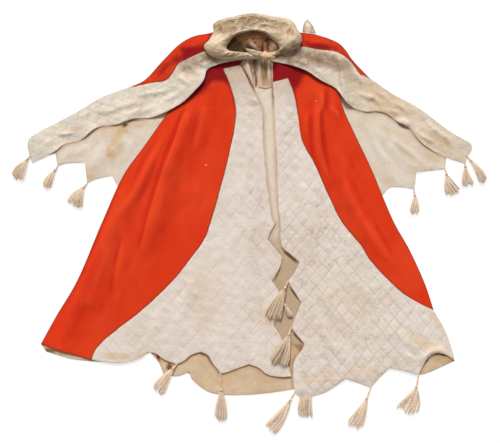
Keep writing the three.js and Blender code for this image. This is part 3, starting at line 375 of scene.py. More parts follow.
# How far the front edge of the cape stands clear of the robe below it, in rises along its edge
CAPE_LIFTS = (
    (((-150, 556), (-166, 508), (-204, 462), (-240, 432)), 30, 30, 10),
    (((-20, 576), (-90, 564), (-150, 546)), 22, 22, 5),
    (((-220, 440), (-294, 395), (-360, 375)), 18, 18, 5),
    (((-395, 374), (-430, 366), (-465, 354), (-500, 346)), 14, 14, 5.5),
    (((-520, 343), (-560, 322), (-600, 296)), 12, 12, 2.5),
    (((-640, 286), (-675, 262), (-705, 244)), 12, 12, 3.5),
    (((92, 574), (160, 556), (236, 512), (300, 474)), 28, 28, 9),
    (((290, 482), (334, 430), (372, 406)), 20, 20, 6),
    (((380, 402), (407, 397), (440, 396)), 12, 12, 2.5),
    (((500, 374), (528, 359), (550, 343), (566, 328)), 12, 12, 8),
    (((596, 294), (637, 262), (672, 245)), 12, 12, 3.5),
)

# The rolled collar's sections round the neck: neck edge, outer edge, height of each edge, and the crest
COLLAR_SECTIONS = (
    (40, 600, 40, 579, 19.7, 19.7, 27),
    (5, 601, 2, 579, 19.7, 19.7, 31),
    (-35, 604, -45, 578, 19.7, 19.7, 38),
    (-72, 609, -112, 580, 19.7, 19.7, 46),
    (-81, 617, -150, 601, 18, 19, 51),
    (-78, 630, -161, 624, 16, 17, 52),
    (-70, 642, -141, 651, 12, 13, 46),
    (-60, 655, -129, 676, 10, 11, 39),
    (-46, 664, -127, 708, 8, 7, 35),
    (-24, 672, -92, 722, 8, 3, 32),
    (14, 678, 7, 743, 8, 0.6, 29),
    (50, 671, 86, 732, 8, 2, 32),
    (70, 656, 146, 719, 9, 5, 36),
    (86, 641, 163, 692, 11, 11, 42),
    (99, 627, 183, 647, 16, 17, 50),
    (102, 614, 172, 624, 19.7, 19.7, 43),
    (84, 606, 116, 598, 19.7, 19.7, 25),
    (46, 601, 47, 583, 19.7, 19.7, 25),
)
COLLAR_ROUND = 320
COLLAR_ACROSS = 48
COLLAR_SHELL = 1.6
COLLAR_TOP = 55.5
ARCH_POWER = 0.5
# The width that the collar's strip has for its wrinkles, and half a diamond round and across it
COLLAR_GIRTH = 90
DIAMOND_ROUND = 36
DIAMOND_ACROSS = 34
# Where the side of the neck passes into the back of it, over a run along Y
BEHIND_NECK_Y = 640
BEHIND_NECK_RUN = 36

# Tassels: node, the point that it hangs from, the middle of its ends, its cord, half the width of its ends,
# the cloth that it is sewn to, what its ends lie on, how far it bends aside, and how frayed it is
TASSELS = (
    ("tassel_wing_left_tip", -772, 240, -822, 156, 12, 26, "cape", "floor", -5, 0.3),
    ("tassel_wing_left_outer", -674, 206, -718, 124, 17, 18, "lining", "floor", -4, 0.1),
    ("tassel_wing_left_inner", -570, 148, -620, 60, 20, 31, "lining", "floor", -6, 0.1),
    ("tassel_wing_right_tip", 754, 215, 767, 133, 12, 22, "cape", "floor", -4, 0.1),
    ("tassel_wing_right_side", 762, 240, 823, 144, 20, 17, "cape", "floor", 6, 0.1),
    ("tassel_wing_right_outer", 684, 196, 718, 102, 20, 28, "lining", "floor", -5, 0.2),
    ("tassel_wing_right_inner", 575, 126, 574, 35, 24, 17, "lining", "floor", 5, 0.1),
    ("tassel_hem_1", -257, -488, -329, -592, 18, 26, "front", "floor", -4, 0.2),
    ("tassel_hem_2", -103, -520, -101, -696, 60, 24, "front", "floor", 2, 0.9),
    ("tassel_hem_3", 156, -588, 63, -730, 32, 27, "front", "floor", 4, 0.1),
    ("tassel_hem_4", 196, -598, 195, -680, 0, 27, "front", "floor", -2, 0.1),
    ("tassel_hem_5", 423, -572, 359, -718, 40, 28, "front", "floor", 3, 0.2),
    ("tassel_hem_6", 591, -527, 541, -664, 42, 42, "front", "floor", 9, 0.3),
    ("tassel_edge_upper", 133, -197, 72, -334, 26, 32, "front", "border", -2, 0.2),
    ("tassel_edge_lower", 144, -360, 92, -496, 24, 37, "front", "border", 3, 0.3),
    ("tassel_edge_tucked", 119, -273, 145, -325, 13, 10, "front", "facing", 0, 0.2),
)
TASSEL_HEAD = (11, 7, 5)
CORD_RADIUS = 2.5
# A skirt with no more than this half width has half the threads
NARROW_SKIRT = 10
# How far a cord reaches into the cloth
SEWN_IN = 5
# A cord shorter than this is hidden, and the threads are sewn to the hem itself
HIDDEN_CORD = 4

# Stains and faded patches: x, y, half width, half length, turn in degrees and strength
LINING_STAINS = (
    (-450, 330, 28, 18, 10, 0.8),
    (-468, 296, 24, 52, -24, 0.7),
    (-488, 254, 22, 26, 10, 1.0),
    (-410, 350, 70, 16, 4, 0.5),
    (-500, 320, 40, 20, 20, 0.3),
    (-620, 250, 46, 16, 25, 0.3),
    (-560, 170, 18, 12, 0, 0.5),
    (560, 240, 60, 16, -36, 0.4),
    (470, 330, 34, 18, -30, 0.3),
    (600, 200, 60, 12, -4, 0.4),
    (486, 150, 30, 20, 0, 0.5),
    (640, 236, 40, 14, -24, 0.35),
)
BORDER_STAINS = (
    (-460, -460, 60, 14, -4, 0.7),
    (-380, -458, 30, 10, 20, 0.6),
    (60, -330, 60, 30, 0, 0.35),
    (620, -420, 90, 26, -30, 0.5),
    (430, -520, 90, 22, -20, 0.35),
    (650, -330, 50, 16, -40, 0.35),
    (250, -540, 90, 30, 10, 0.35),
    (-160, -250, 80, 160, 10, 0.2),
    (340, -260, 120, 60, -30, 0.2),
)
BAND_STAINS = (
    (560, 330, 50, 12, -36, 0.7),
    (640, 280, 40, 10, -30, 0.6),
    (-640, 330, 50, 8, 14, 0.45),
    (470, 430, 130, 50, -32, 0.5),
    (-420, 410, 120, 26, 18, 0.2),
    (660, 300, 90, 22, -34, 0.55),
    (-210, 520, 40, 40, 30, 0.35),
)
# Brown soil and painted shade on the bands near the collar
NECK_SOIL_AND_SHADE = (
    (186, 590, 150, 44, -8, 1.0),
    (280, 574, 90, 34, -20, 0.9),
    (96, 590, 80, 24, -4, 1.0),
    (-140, 588, 110, 32, 6, 1.0),
    (-206, 570, 80, 30, 22, 0.8),
    (-40, 590, 70, 14, 0, 0.9),
    (350, 520, 60, 24, -50, 0.35),
)
# Painted shade: the patch of the red fronts that lies in the cape's shade, drawn crimson
SHADE_UNDER_CAPE = (
    (-230, 440, 1), (-178, 458), (-147, 486), (-129, 504), (-107, 505), (-85, 500), (-73, 486), (-60, 450),
    (-49, 413, 1), (60, 430, 1), (161, 399, 1), (158, 476), (171, 488), (181, 512), (196, 539, 1),
    (260, 600, 1), (24, 650, 1), (-240, 620, 1),
)
# Painted shade: darker bands along the folds of the red fronts, given as the stains are
RED_SHADES = (
    (-478, -20, 20, 90, -24, 0.6),
    (-545, -168, 22, 110, -22, 0.7),
    (-612, -330, 22, 110, -24, 0.8),
    (-208, 356, 5, 60, -16, 0.5),
    (252, 300, 12, 90, 4, 0.5),
    (270, 430, 12, 60, 0, 0.7),
    (330, 100, 16, 110, 20, 0.35),
)
# Painted shade: crimson strips of the cape's red shoulders beside its bands
CAPE_SHADE_STRIPS = (
    (-214, 596, 84, 13, 22, 0.9),
    (-300, 545, 50, 9, 46, 0.6),
    (-268, 575, 46, 20, 35, 0.6),
    (-290, 560, 70, 40, 40, 0.3),
    (240, 626, 84, 15, -7, 0.95),
    (330, 590, 34, 11, -50, 0.7),
)

# The collar's brown soil, and what lies in the open neck: its folds, their creases, its painted shadows,
# and where it is pale or red
COLLAR_SOIL = (
    (-84, 700, 60, 40, 10, 0.9),
    (-10, 716, 70, 34, 0, 1.0),
    (60, 706, 60, 30, -6, 0.85),
    (110, 690, 40, 30, -16, 0.6),
    (-84, 682, 60, 18, 10, 0.9),
    (166, 632, 34, 26, 0, 0.9),
    (140, 668, 50, 40, 0, 0.5),
    (-64, 592, 66, 8, 8, 0.9),
    (110, 600, 50, 14, 10, 0.9),
)
NECK_FOLDS = (
    (-82, 606, 1), (0, 602), (96, 606, 1), (104, 628), (86, 660), (40, 676), (-20, 676), (-66, 656),
    (-84, 626),
)
NECK_FOLDS_Z = 8.4
NECK_FOLDS_CELL = 2.5
NECK_FOLDS_LIFT = 1.6
NECK_CREASES = (
    (((30, 606), (16, 624), (2, 640), (-8, 654)), 10, 7, 8),
    (((-16, 604), (-20, 622), (-28, 640)), 7, 9, 4),
    (((-70, 612), (-50, 632), (-30, 650), (0, 664)), 9, 7, 4),
    (((56, 606), (54, 624), (48, 644), (34, 660)), 7, 5, -4),
    (((84, 606), (86, 628), (72, 652)), 9, 10, 6),
    (((-10, 664), (24, 660), (52, 652)), 8, 6, 4),
)
NECK_SHADOWS = (
    (-50, 622, 52, 30, 0, 1.0),
    (-8, 614, 40, 20, 0, 1.0),
    (-60, 646, 18, 20, 0, 0.9),
    (94, 640, 20, 9, -40, 0.9),
    (62, 630, 7, 24, 6, 0.8),
    (20, 678, 60, 5, 0, 0.5),
)
NECK_PALE = (
    (14, 626, 7, 24, 52, 0.3),
    (8, 606, 28, 6, -24, 0.7),
    (80, 622, 15, 15, 0, 0.3),
)
NECK_RED = (
    (43, 620, 6, 28, -5, 1.0),
    (56, 646, 12, 6, 30, 0.9),
)

# The tie: rolls of the knot as x, y, z, width share and thickness share, then its own folds
KNOT_ROLLS = (
    (((30, 600, 33, 0.5, 0.5), (44, 592, 36, 1.0, 0.9), (60, 588, 37, 1.1, 1.0), (76, 585, 35, 1.0, 0.9),
      (88, 583, 31, 0.5, 0.5)), 9.5, 8, 51, (40, 64)),
    (((56, 606, 29, 0.6, 0.6), (52, 598, 37, 1.0, 0.8), (52, 588, 41, 1.1, 0.9), (54, 577, 37, 1.0, 0.8),
      (58, 568, 26, 0.7, 0.7)), 8, 6, 52, (32, 44)),
    (((58, 592, 37, 0.9, 0.9), (36, 598, 40, 1.0, 0.8), (14, 604, 40, 0.8, 0.6), (-8, 611, 37, 0.3, 0.4)),
     5.5, 3, 53, (24, 44)),
    (((66, 590, 36, 0.9, 0.9), (80, 594, 40, 1.0, 0.8), (92, 596, 38, 0.4, 0.5)), 6, 4, 54, (24, 30)),
)
KNOT_LOWEST = 20.5
KNOT_HIGHEST = 54
TIE_CREASES = (
    (((-20, 600), (-6, 550), (14, 490)), 5, 7, 4.5),
    (((-2, 600), (4, 560), (12, 510)), 4, 4, -2),
    (((28, 600), (30, 540), (27, 486)), 5, 6, 3),
    (((72, 600), (66, 550), (70, 486)), 6, 6, 4.5),
    (((50, 600), (46, 545), (52, 486)), 7, 5, -2.4),
)
# Soil of the tie with painted shade along its right tail's trough, and stains and painted shadows
# of the facing under it
TIE_SOIL_AND_SHADE = (
    (48, 536, 13, 52, 3, 1.0),
    (14, 570, 14, 22, 0, 0.9),
    (62, 500, 22, 16, 0, 0.4),
)
FACING_STAINS = (
    (90, 540, 12, 60, 0, 0.7),
    (70, -190, 60, 200, 8, 0.55),
)
FACING_SHADOWS = (
    (17, 560, 14, 54, 0, 1.0),
    (21, 505, 6, 24, 0, 1.0),
    (-8, 512, 7, 56, 28, 0.9),
    (80, 470, 5, 70, 0, 0.6),
    (140, -110, 36, 7, -42, 1.0),
    (157, -240, 38, 6, -56, 1.0),
    (167, -392, 34, 8, -50, 1.0),
    (98, -168, 30, 5, 68, 0.7),
    (108, -318, 26, 5, 68, 0.6),
    (60, -30, 26, 4, 60, 0.6),
)
# Painted shadows on the wings' lining below the bands' edges
LINING_SHADOWS = (
    (-438, 350, 15, 9, 12, 1.0),
    (-404, 366, 30, 5, 4, 0.6),
    (536, 344, 22, 5, -30, 0.6),
)
# Stains and painted shadows of the back's lining, and the bit of red wool that shows at the hem
BACK_STAINS = (
    (650, -462, 60, 14, -10, 0.5),
    (-660, -462, 70, 10, -8, 0.4),
    (-120, -560, 70, 30, 0, 0.3),
)
BACK_SHADOWS = (
    (-283, -499, 13, 16, 0, 1.0),
    (-176, -436, 36, 14, -40, 0.7),
    (-134, -476, 11, 40, 40, 0.6),
    (-703, -441, 26, 9, -14, 0.9),
    (618, -470, 26, 10, 62, 0.9),
    (668, -452, 44, 8, -14, 0.8),
    (666, -468, 70, 22, -10, 0.25),
    (176, -430, 30, 16, -40, 0.6),
)
BACK_RED = (
    (-322, -464, 7, 18, 24, 1.0),
)


# Small maths on arrays of points

def clamp01(value):
    return np.clip(value, 0.0, 1.0)


def ease(value):
    t = clamp01(value)
    return t * t * (3 - 2 * t)


def lerp(a, b, t):
    return a + (b - a) * t


def turned(points, angle):
    cos, sin = math.cos(angle), math.sin(angle)
    return np.stack([points[:, 0] * cos - points[:, 1] * sin, points[:, 0] * sin + points[:, 1] * cos], 1)


def ripple(points, seed, wave, stretch=1.0, angle=0.0, waves=9):
    """Smooth irregular height from -1 to 1, longer by stretch along the angle."""
    rng = np.random.default_rng(seed)
    local = turned(points, -angle) / (wave * stretch, wave)
    total = np.zeros(len(points))
    for _ in range(waves):
        way = rng.uniform(0, 2 * math.pi)
        pace = 2 * math.pi * rng.uniform(0.6, 1.5)
        phase = rng.uniform(0, 2 * math.pi)
        total += np.sin(pace * (local[:, 0] * math.cos(way) + local[:, 1] * math.sin(way)) + phase)
    return total / (waves ** 0.5 * 1.6)


BLOCK = 1500


def nearest_on(points, line, closed=False):
    """For each point: its distance to the line, the nearest point there, its side, and how far along."""
    ends = np.roll(line, -1, 0) if closed else line[1:]
    starts = line if closed else line[:-1]
    spans = ends - starts
    squares = np.maximum((spans ** 2).sum(1), 1e-12)
    before = np.concatenate([[0.0], np.cumsum(np.sqrt(squares))])
    far, foot, side, along = [], [], [], []
    for first in range(0, len(points), BLOCK):
        part = points[first:first + BLOCK]
        rel_x = part[:, 0:1] - starts[None, :, 0]
        rel_y = part[:, 1:2] - starts[None, :, 1]
        t = np.clip((rel_x * spans[:, 0] + rel_y * spans[:, 1]) / squares, 0, 1)
        gap_x = rel_x - t * spans[:, 0]
        gap_y = rel_y - t * spans[:, 1]
        square = gap_x ** 2 + gap_y ** 2
        best = square.argmin(1)
        rows = np.arange(len(part))
        here = t[rows, best]
        far.append(np.sqrt(square[rows, best]))
        foot.append(starts[best] + here[:, None] * spans[best])
        side.append(np.sign(spans[best, 0] * rel_y[rows, best] - spans[best, 1] * rel_x[rows, best]))
        along.append((before[best] + here * np.sqrt(squares[best])) / before[-1])
    return np.concatenate(far), np.concatenate(foot), np.concatenate(side), np.concatenate(along)


def is_inside(points, outline):
    ends = np.roll(outline, -1, 0)
    rise = ends[:, 1] - outline[:, 1]
    rise = np.where(np.abs(rise) < 1e-9, 1e-9, rise)
    found = []
    for first in range(0, len(points), BLOCK):
        x = points[first:first + BLOCK, 0:1]
        y = points[first:first + BLOCK, 1:2]
        spans = (outline[None, :, 1] > y) != (ends[None, :, 1] > y)
        cross = (ends[:, 0] - outline[:, 0]) * (y - outline[:, 1]) / rise + outline[:, 0]
        found.append((spans & (x < cross)).sum(1) % 2 == 1)
    return np.concatenate(found)


def depth_inside(points, outline):
    far = nearest_on(points, outline, closed=True)[0]
    return np.where(is_inside(points, outline), far, -far)


# Smooth edges and closed outlines

def slopes(p0, p1, p2, p3):
    """How a centripetal curve through the four points leaves the second and reaches the third."""
    g0, g1, g2 = (max(math.dist(a, b), 1e-6) ** 0.5 for a, b in ((p0, p1), (p1, p2), (p2, p3)))
    m1 = ((p1 - p0) / g0 - (p2 - p0) / (g0 + g1) + (p2 - p1) / g1) * g1
    m2 = ((p2 - p1) / g1 - (p3 - p1) / (g1 + g2) + (p3 - p2) / g2) * g1
    return m1, m2


def between(p1, p2, m1, m2, t):
    """The point at share t of the way from p1 to p2."""
    return p1 + m1 * t + (3 * (p2 - p1) - 2 * m1 - m2) * t ** 2 + (2 * (p1 - p2) + m1 + m2) * t ** 3


def past_ends(points):
    """The points with one more beyond each end, in line with the last two."""
    return np.concatenate([[2 * points[0] - points[1]], points, [2 * points[-1] - points[-2]]])


def smooth_stretch(rows, step):
    """Points at even steps along a centripetal curve through the rows."""
    points = np.array(rows, float)
    if len(points) < 3 and step >= HEIGHT_STEP:
        return points
    ends = past_ends(points)
    traced = [points[0]]
    for i in range(len(points) - 1):
        p0, p1, p2, p3 = ends[i:i + 4]
        m1, m2 = slopes(p0, p1, p2, p3)
        for t in np.linspace(0, 1, 25)[1:]:
            traced.append(between(p1, p2, m1, m2, t))
    traced = np.array(traced)
    lengths = np.concatenate([[0], np.cumsum(np.linalg.norm(np.diff(traced, axis=0), axis=1))])
    count = max(len(points) - 1, round(lengths[-1] / step))
    at = np.linspace(0, lengths[-1], count + 1)
    return np.stack([np.interp(at, lengths, traced[:, 0]), np.interp(at, lengths, traced[:, 1])], 1)


def smooth_edge(rows, step):
    stretches, stretch = [], [rows[0][:2]]
    for i, row in enumerate(rows[1:], 1):
        stretch.append(row[:2])
        if len(row) > 2 or i == len(rows) - 1:
            stretches.append(smooth_stretch(stretch, step)[1 if stretches else 0:])
            stretch = [row[:2]]
    return np.concatenate(stretches)


def closed_outline(step, *edges):
    """Joins edges end to end, each given as 1 and its rows, or -1 where it runs backwards."""
    joined = np.concatenate([smooth_edge(rows, step)[::way] for way, rows in edges])
    kept = [joined[0]]
    for point in joined[1:]:
        if math.dist(point, kept[-1]) > SAME_POINT:
            kept.append(point)
    if math.dist(kept[0], kept[-1]) <= SAME_POINT:
        kept.pop()
    return np.array(kept)


OUTLINES = {
    "cape_back": (
        (-1, CAPE_WING_LEFT), (-1, CAPE_SHOULDER_LEFT), (1, CAPE_BACK_NECK), (1, CAPE_SHOULDER_RIGHT),
        (1, CAPE_WING_RIGHT), (-1, CAPE_HEM),
    ),
    "cape_left": (
        (1, BAND_EDGE_LEFT), (-1, CAPE_WING_LEFT), (-1, CAPE_SHOULDER_LEFT), (-1, CAPE_NECK_BACK_LEFT),
        (-1, CAPE_NECK_FRONT_LEFT),
    ),
    "cape_right": (
        (1, BAND_EDGE_RIGHT), (-1, CAPE_WING_RIGHT), (-1, CAPE_SHOULDER_RIGHT), (-1, CAPE_NECK_BACK_RIGHT),
        (-1, CAPE_NECK_FRONT_RIGHT),
    ),
    "cape_left_band": (
        (1, BAND_EDGE_LEFT), (-1, CAPE_WING_LEFT), (-1, BAND_SEAM_LEFT), (-1, CAPE_NECK_FRONT_LEFT),
    ),
    "cape_left_red": ((1, BAND_SEAM_LEFT), (-1, CAPE_SHOULDER_LEFT), (-1, CAPE_NECK_BACK_LEFT)),
    "cape_right_band": (
        (1, BAND_EDGE_RIGHT), (-1, CAPE_WING_RIGHT), (-1, BAND_SEAM_RIGHT), (-1, CAPE_NECK_FRONT_RIGHT),
    ),
    "cape_right_red": ((1, BAND_SEAM_RIGHT), (-1, CAPE_SHOULDER_RIGHT), (-1, CAPE_NECK_BACK_RIGHT)),
    "robe_back": (
        (1, SHOULDERS), (1, ROBE_SIDE_RIGHT), (1, BORDER_SIDE_RIGHT), (-1, BACK_HEM), (-1, ROBE_SIDE_LEFT),
    ),
    "front_left_red": (
        (1, SEAM_LEFT), (1, RED_HEM_LEFT), (-1, ROBE_SIDE_LEFT), (-1, RED_TOP_LEFT), (-1, BORDER_TOP_LEFT),
    ),
    "front_left_border": (
        (1, SEAM_LEFT), (1, BORDER_HEM_LEFT), (-1, FRONT_EDGE_LEFT), (-1, BORDER_TOP_LEFT),
    ),
    "front_right_red": (
        (1, SEAM_RIGHT), (-1, ROBE_SIDE_RIGHT), (-1, RED_TOP_RIGHT), (-1, BORDER_TOP_RIGHT),
    ),
    "front_right_border": (
        (1, SEAM_RIGHT), (1, BORDER_SIDE_RIGHT), (-1, BORDER_HEM_RIGHT), (-1, FRONT_EDGE_RIGHT),
        (-1, BORDER_TOP_RIGHT),
    ),
    "front_facing": ((1, FACING),),
    "neck_tie_tail_left": ((1, TIE_TAIL_LEFT),),
    "neck_tie_tail_right": ((1, TIE_TAIL_RIGHT),),
    "collar_point": ((1, COLLAR_POINT),),
}
OUTLINES["cape_lining"] = OUTLINES["cape_back"]
OUTLINES["robe_back_lining"] = OUTLINES["robe_back"]


def height_outline(name):
    return closed_outline(HEIGHT_STEP, *OUTLINES[name])


def height_edge(*tables):
    return np.concatenate([smooth_edge(rows, HEIGHT_STEP) for rows in tables])


CAPE_LEFT = height_outline("cape_left")
CAPE_RIGHT = height_outline("cape_right")
ROBE_BACK = height_outline("robe_back")
BORDER_LEFT = closed_outline(CUT_STEP * 2, *OUTLINES["front_left_border"])
BORDER_RIGHT = closed_outline(CUT_STEP * 2, *OUTLINES["front_right_border"])
COLLAR_LINE = np.array([row[2:4] for row in COLLAR_SECTIONS], float)
SIDE_LEFT = height_edge(ROBE_SIDE_LEFT)
SIDE_RIGHT = height_edge(ROBE_SIDE_RIGHT, BORDER_SIDE_RIGHT)
WING_LEFT = height_edge(CAPE_WING_LEFT)
WING_RIGHT = height_edge(CAPE_WING_RIGHT)
HEM = height_edge(BACK_HEM)
# The outline of the painted shade under the cape
SHADE_UNDER_CAPE_OUTLINE = closed_outline(CUT_STEP * 2, (1, SHADE_UNDER_CAPE))


# Heights of the cloth's underside

def fold_height(folds, points):
    total = np.zeros(len(points))
    for x1, y1, x2, y2, wide, high in folds:
        far = nearest_on(points, np.array([(x1, y1), (x2, y2)], float))[0]
        total += high * np.exp(-(far / wide) ** 2)
    return total


def crease_height(creases, points):
    """Soft ridges and troughs that fade out at their ends."""
    total = np.zeros(len(points))
    for line, left, right, high in creases:
        curve = smooth_stretch(line, 12)
        reach = 3 * max(left, right)
        low, top = curve.min(0) - reach, curve.max(0) + reach
        near = np.all((points > low) & (points < top), axis=1)
        if near.any():
            far, _, side, along = nearest_on(points[near], curve)
            wide = np.where(side > 0, left, right)
            faded = ease(np.minimum(along, 1 - along) / 0.4)
            total[near] += high * np.exp(-(far / wide) ** 2) * faded
    return total


def from_neck(points):
    """How far cloth lies from the collar's outer edge, for cloth that nothing else covers."""
    return nearest_on(points, COLLAR_LINE)[0]


def outside_fronts(points):
    return -np.maximum(depth_inside(points, BORDER_LEFT), depth_inside(points, BORDER_RIGHT))


def on_cape(points):
    return ROBE_BACK_Z * clamp01((points[:, 1] + SLOPE_LENGTH) / SLOPE_LENGTH)


def outside_cape(points):
    return -np.maximum(depth_inside(points, CAPE_LEFT), depth_inside(points, CAPE_RIGHT))


def hem_line(points):
    return np.interp(points[:, 0], np.maximum.accumulate(HEM[:, 0]), HEM[:, 1])


def free_front(points):
    """0 under the cape and at the sides, 1 where the fronts are free to fold."""
    sides = np.minimum(nearest_on(points, SIDE_LEFT)[0], nearest_on(points, SIDE_RIGHT)[0])
    return ease(sides / SIDE_RISE), ease(outside_cape(points) / CAPE_SHADE)


def front_height(points):
    side, open_cloth = free_front(points)
    held = FACING_Z + (FRONT_Z - FACING_Z) * side + fold_height(FRONT_FOLDS, points) * side * open_cloth
    drop = ease((hem_line(points) - points[:, 1]) / HEM_DROP)
    drop = drop * ease((HEM_DROP_UNTIL - points[:, 0]) / HEM_DROP)
    return on_cape(points) + lerp(held, FLOOR_GAP, drop)


def cape_lining_height(points):
    clear = np.minimum(outside_cape(points), -depth_inside(points, ROBE_BACK))
    return CAPE_LINING_Z + fold_height(WING_FOLDS, points) * ease((clear - FLAT_MARGIN) / CAPE_SHADE)


def cape_height(points):
    depth = depth_inside(points, ROBE_BACK)
    over = ease((depth - CAPE_RISE_FROM) / (CAPE_RISE_TO - CAPE_RISE_FROM))
    outer = np.minimum(nearest_on(points, WING_LEFT)[0], nearest_on(points, WING_RIGHT)[0])
    return lerp(CAPE_EDGE_Z, CAPE_OVER_Z, over) + fold_height(CAPE_FOLDS, points) * ease(outer / SIDE_RISE)


# The same cloth's upper side, with its creases

def red_front_top(points):
    side, open_cloth = free_front(points)
    creased = 1.25 * crease_height(RED_CREASES, points) + 0.9 * ripple(points, 3, 110, 3.5, 1.15)
    soft = 0.6 * ripple(points, 4, 50, 2.5, 1.2) + 0.16 * ripple(points, 5, 22, 1.6, 1.1)
    return front_height(points) + RED_PANEL + (np.maximum(creased, -3.4) + soft) * side ** 0.6 * open_cloth


def border_front_top(points):
    side, open_cloth = free_front(points)
    creased = 1.4 * crease_height(BORDER_CREASES, points) + 0.6 * ripple(points, 6, 120, 2.2, 1.3)
    soft = 0.5 * ripple(points, 7, 45, 1.4, 0.4) + 0.25 * ripple(points, 8, 18)
    return front_height(points) + QUILTED + (np.maximum(creased, -1.6) + soft) * ease(side * 3) * open_cloth


def wing_lining_top(points):
    clear = np.minimum(outside_cape(points) + 10, -depth_inside(points, ROBE_BACK))
    free = ease((clear - 6) / 40)
    creased = crease_height(LINING_CREASES, points) + 0.7 * ripple(points, 9, 70, 2.4, -0.7)
    soft = 0.3 * ripple(points, 10, 26, 1.8, -0.6)
    return cape_lining_height(points) + LINING + np.maximum(creased + soft + 0.4, 0) * free


def facing_top(points):
    soft = 0.3 * ripple(points, 11, 60, 4, 1.55)
    return on_cape(points) + FACING_Z + WOOL + np.maximum(soft, -0.2)


def robe_lining_top(points):
    shown = ease((-440 - points[:, 1]) / 30) + ease((points[:, 1] - 600) / 20)
    creased = 0.8 * ripple(points, 12, 44, 2.0, 0.2) + 0.35 * ripple(points, 13, 16)
    return on_cape(points) + ROBE_LINING_Z + LINING + np.maximum(creased, -0.2) * clamp01(shown)


def cape_top(points, lean):
    outer = np.minimum(nearest_on(points, WING_LEFT)[0], nearest_on(points, WING_RIGHT)[0])
    creased = 1.3 * crease_height(BAND_CREASES, points) + 1.2 * ripple(points, 14, 46, 4.0, lean)
    soft = 0.7 * ripple(points, 15, 17, 4.5, lean) + 0.36 * ripple(points, 16, 8, 3.0, lean)
    lifted = crease_height(CAPE_LIFTS, points)
    return cape_height(points) + lifted + np.maximum(creased + soft + 0.5, -0.2) * ease(outer / 30)


# Cutting the cloth

def quilt_warp(lattice):
    """How far hand-set quilting lines stray from an even lattice."""
    return np.stack([
        3.4 * ripple(lattice, 21, 150) + 1.6 * ripple(lattice, 22, 46),
        3.4 * ripple(lattice, 23, 150) + 1.6 * ripple(lattice, 24, 46),
    ], 1)


def quilt_lines(lattice):
    """The two families of stitch lines: a whole number lies on a line."""
    across = lattice[:, 0] / (2 * QUILT_X)
    along = lattice[:, 1] / (2 * QUILT_Y)
    return across + along, across - along


def pillow(value):
    off = np.abs(value - np.round(value)) * 2
    return (1 - (1 - off) ** 2) ** 0.62


def new_object(name, mesh):
    piece = bpy.data.objects.new(name, mesh)
    bpy.context.scene.collection.objects.link(piece)
    return piece


def vertices_of(mesh):
    co = np.empty(len(mesh.vertices) * 3)
    mesh.vertices.foreach_get("co", co)
    return co.reshape(-1, 3)


def set_vertices(mesh, co):
    mesh.vertices.foreach_set("co", np.ascontiguousarray(co, dtype=np.float32).ravel())
    mesh.update()


def mesh_from(bm, name):
    mesh = bpy.data.meshes.new(name)
    bm.to_mesh(mesh)
    bm.free()
    return mesh


def grid_mesh(name, across, along):
    """A flat grid with x and y from 0 to 1, x in the given number of cells and y in the other."""
    bm = bmesh.new()
    bmesh.ops.create_grid(bm, x_segments=across, y_segments=along, size=1)
    mesh = mesh_from(bm, name)
    return mesh, (vertices_of(mesh)[:, :2] + 1) / 2


def lattice_grid(outline, step, per, turn):
    """A grid of cloth cells over the outline, and each point's place on the even lattice."""
    local = turned(outline, -turn)
    block = np.array(step) * per
    first = np.floor(local.min(0) / block) - 1
    last = np.ceil(local.max(0) / block) + 1
    count = ((last - first) * per).astype(int)
    mesh, share = grid_mesh("cut", int(count[0]), int(count[1]))
    return mesh, (first + share * (last - first)) * block


def corners_of(outline):
    before = outline - np.roll(outline, 1, 0)
    after = np.roll(outline, -1, 0) - outline
    cosine = (before * after).sum(1) / (np.linalg.norm(before, axis=1) * np.linalg.norm(after, axis=1))
    return outline[cosine < CORNER_COSINE]


def cut_cloth(outline, step, per=1, turn=0.0, warped=False):
    """Cloth cells inside the outline, with their edge points moved onto it."""
    mesh, lattice = lattice_grid(outline, step, per, turn)
    points = turned(lattice + (quilt_warp(lattice) if warped else 0), turn)
    reach = EDGE_REACH * max(step)
    far, foot, _, _ = nearest_on(points, outline, closed=True)
    flags = np.where(is_inside(points, outline), 1, -1)
    flags[far < reach] = 0
    points[far < reach] = foot[far < reach]
    for corner in corners_of(outline):
        nearest = int(((points - corner) ** 2).sum(1).argmin())
        points[nearest] = corner
        flags[nearest] = 0
    faces = np.empty(len(mesh.loops), int)
    mesh.loops.foreach_get("vertex_index", faces)
    faces = faces.reshape(-1, 4)
    state = flags[faces]
    mixed = np.nonzero((state < 0).any(1) & (state > 0).any(1))[0]
    set_vertices(mesh, np.column_stack([points, np.zeros(len(points))]))

    bm = bmesh.new()
    bm.from_mesh(mesh)
    bpy.data.meshes.remove(mesh)
    bm.verts.ensure_lookup_table()
    bm.faces.ensure_lookup_table()
    for face in [bm.faces[i] for i in mixed]:
        on_edge = [v for v in face.verts if flags[v.index] == 0]
        if len(on_edge) == 2:
            bmesh.utils.face_split(face, on_edge[0], on_edge[1])
    bmesh.ops.delete(bm, geom=[v for v in bm.verts if flags[v.index] < 0], context="VERTS")
    rim = [f for f in bm.faces if all(flags[v.index] == 0 for v in f.verts)]
    if rim:
        middles = np.array([f.calc_center_median()[:2] for f in rim])
        outside = depth_inside(middles, outline) < -0.01
        bmesh.ops.delete(bm, geom=[f for f, out in zip(rim, outside) if out], context="FACES")
    loose = [v for v in bm.verts if not v.link_faces]
    bmesh.ops.delete(bm, geom=loose, context="VERTS")
    bmesh.ops.remove_doubles(bm, verts=bm.verts, dist=WELD)
    bmesh.ops.dissolve_degenerate(bm, edges=bm.edges, dist=WELD)
    bmesh.ops.triangulate(bm, faces=[f for f in bm.faces if len(f.verts) > 4])
    return bm


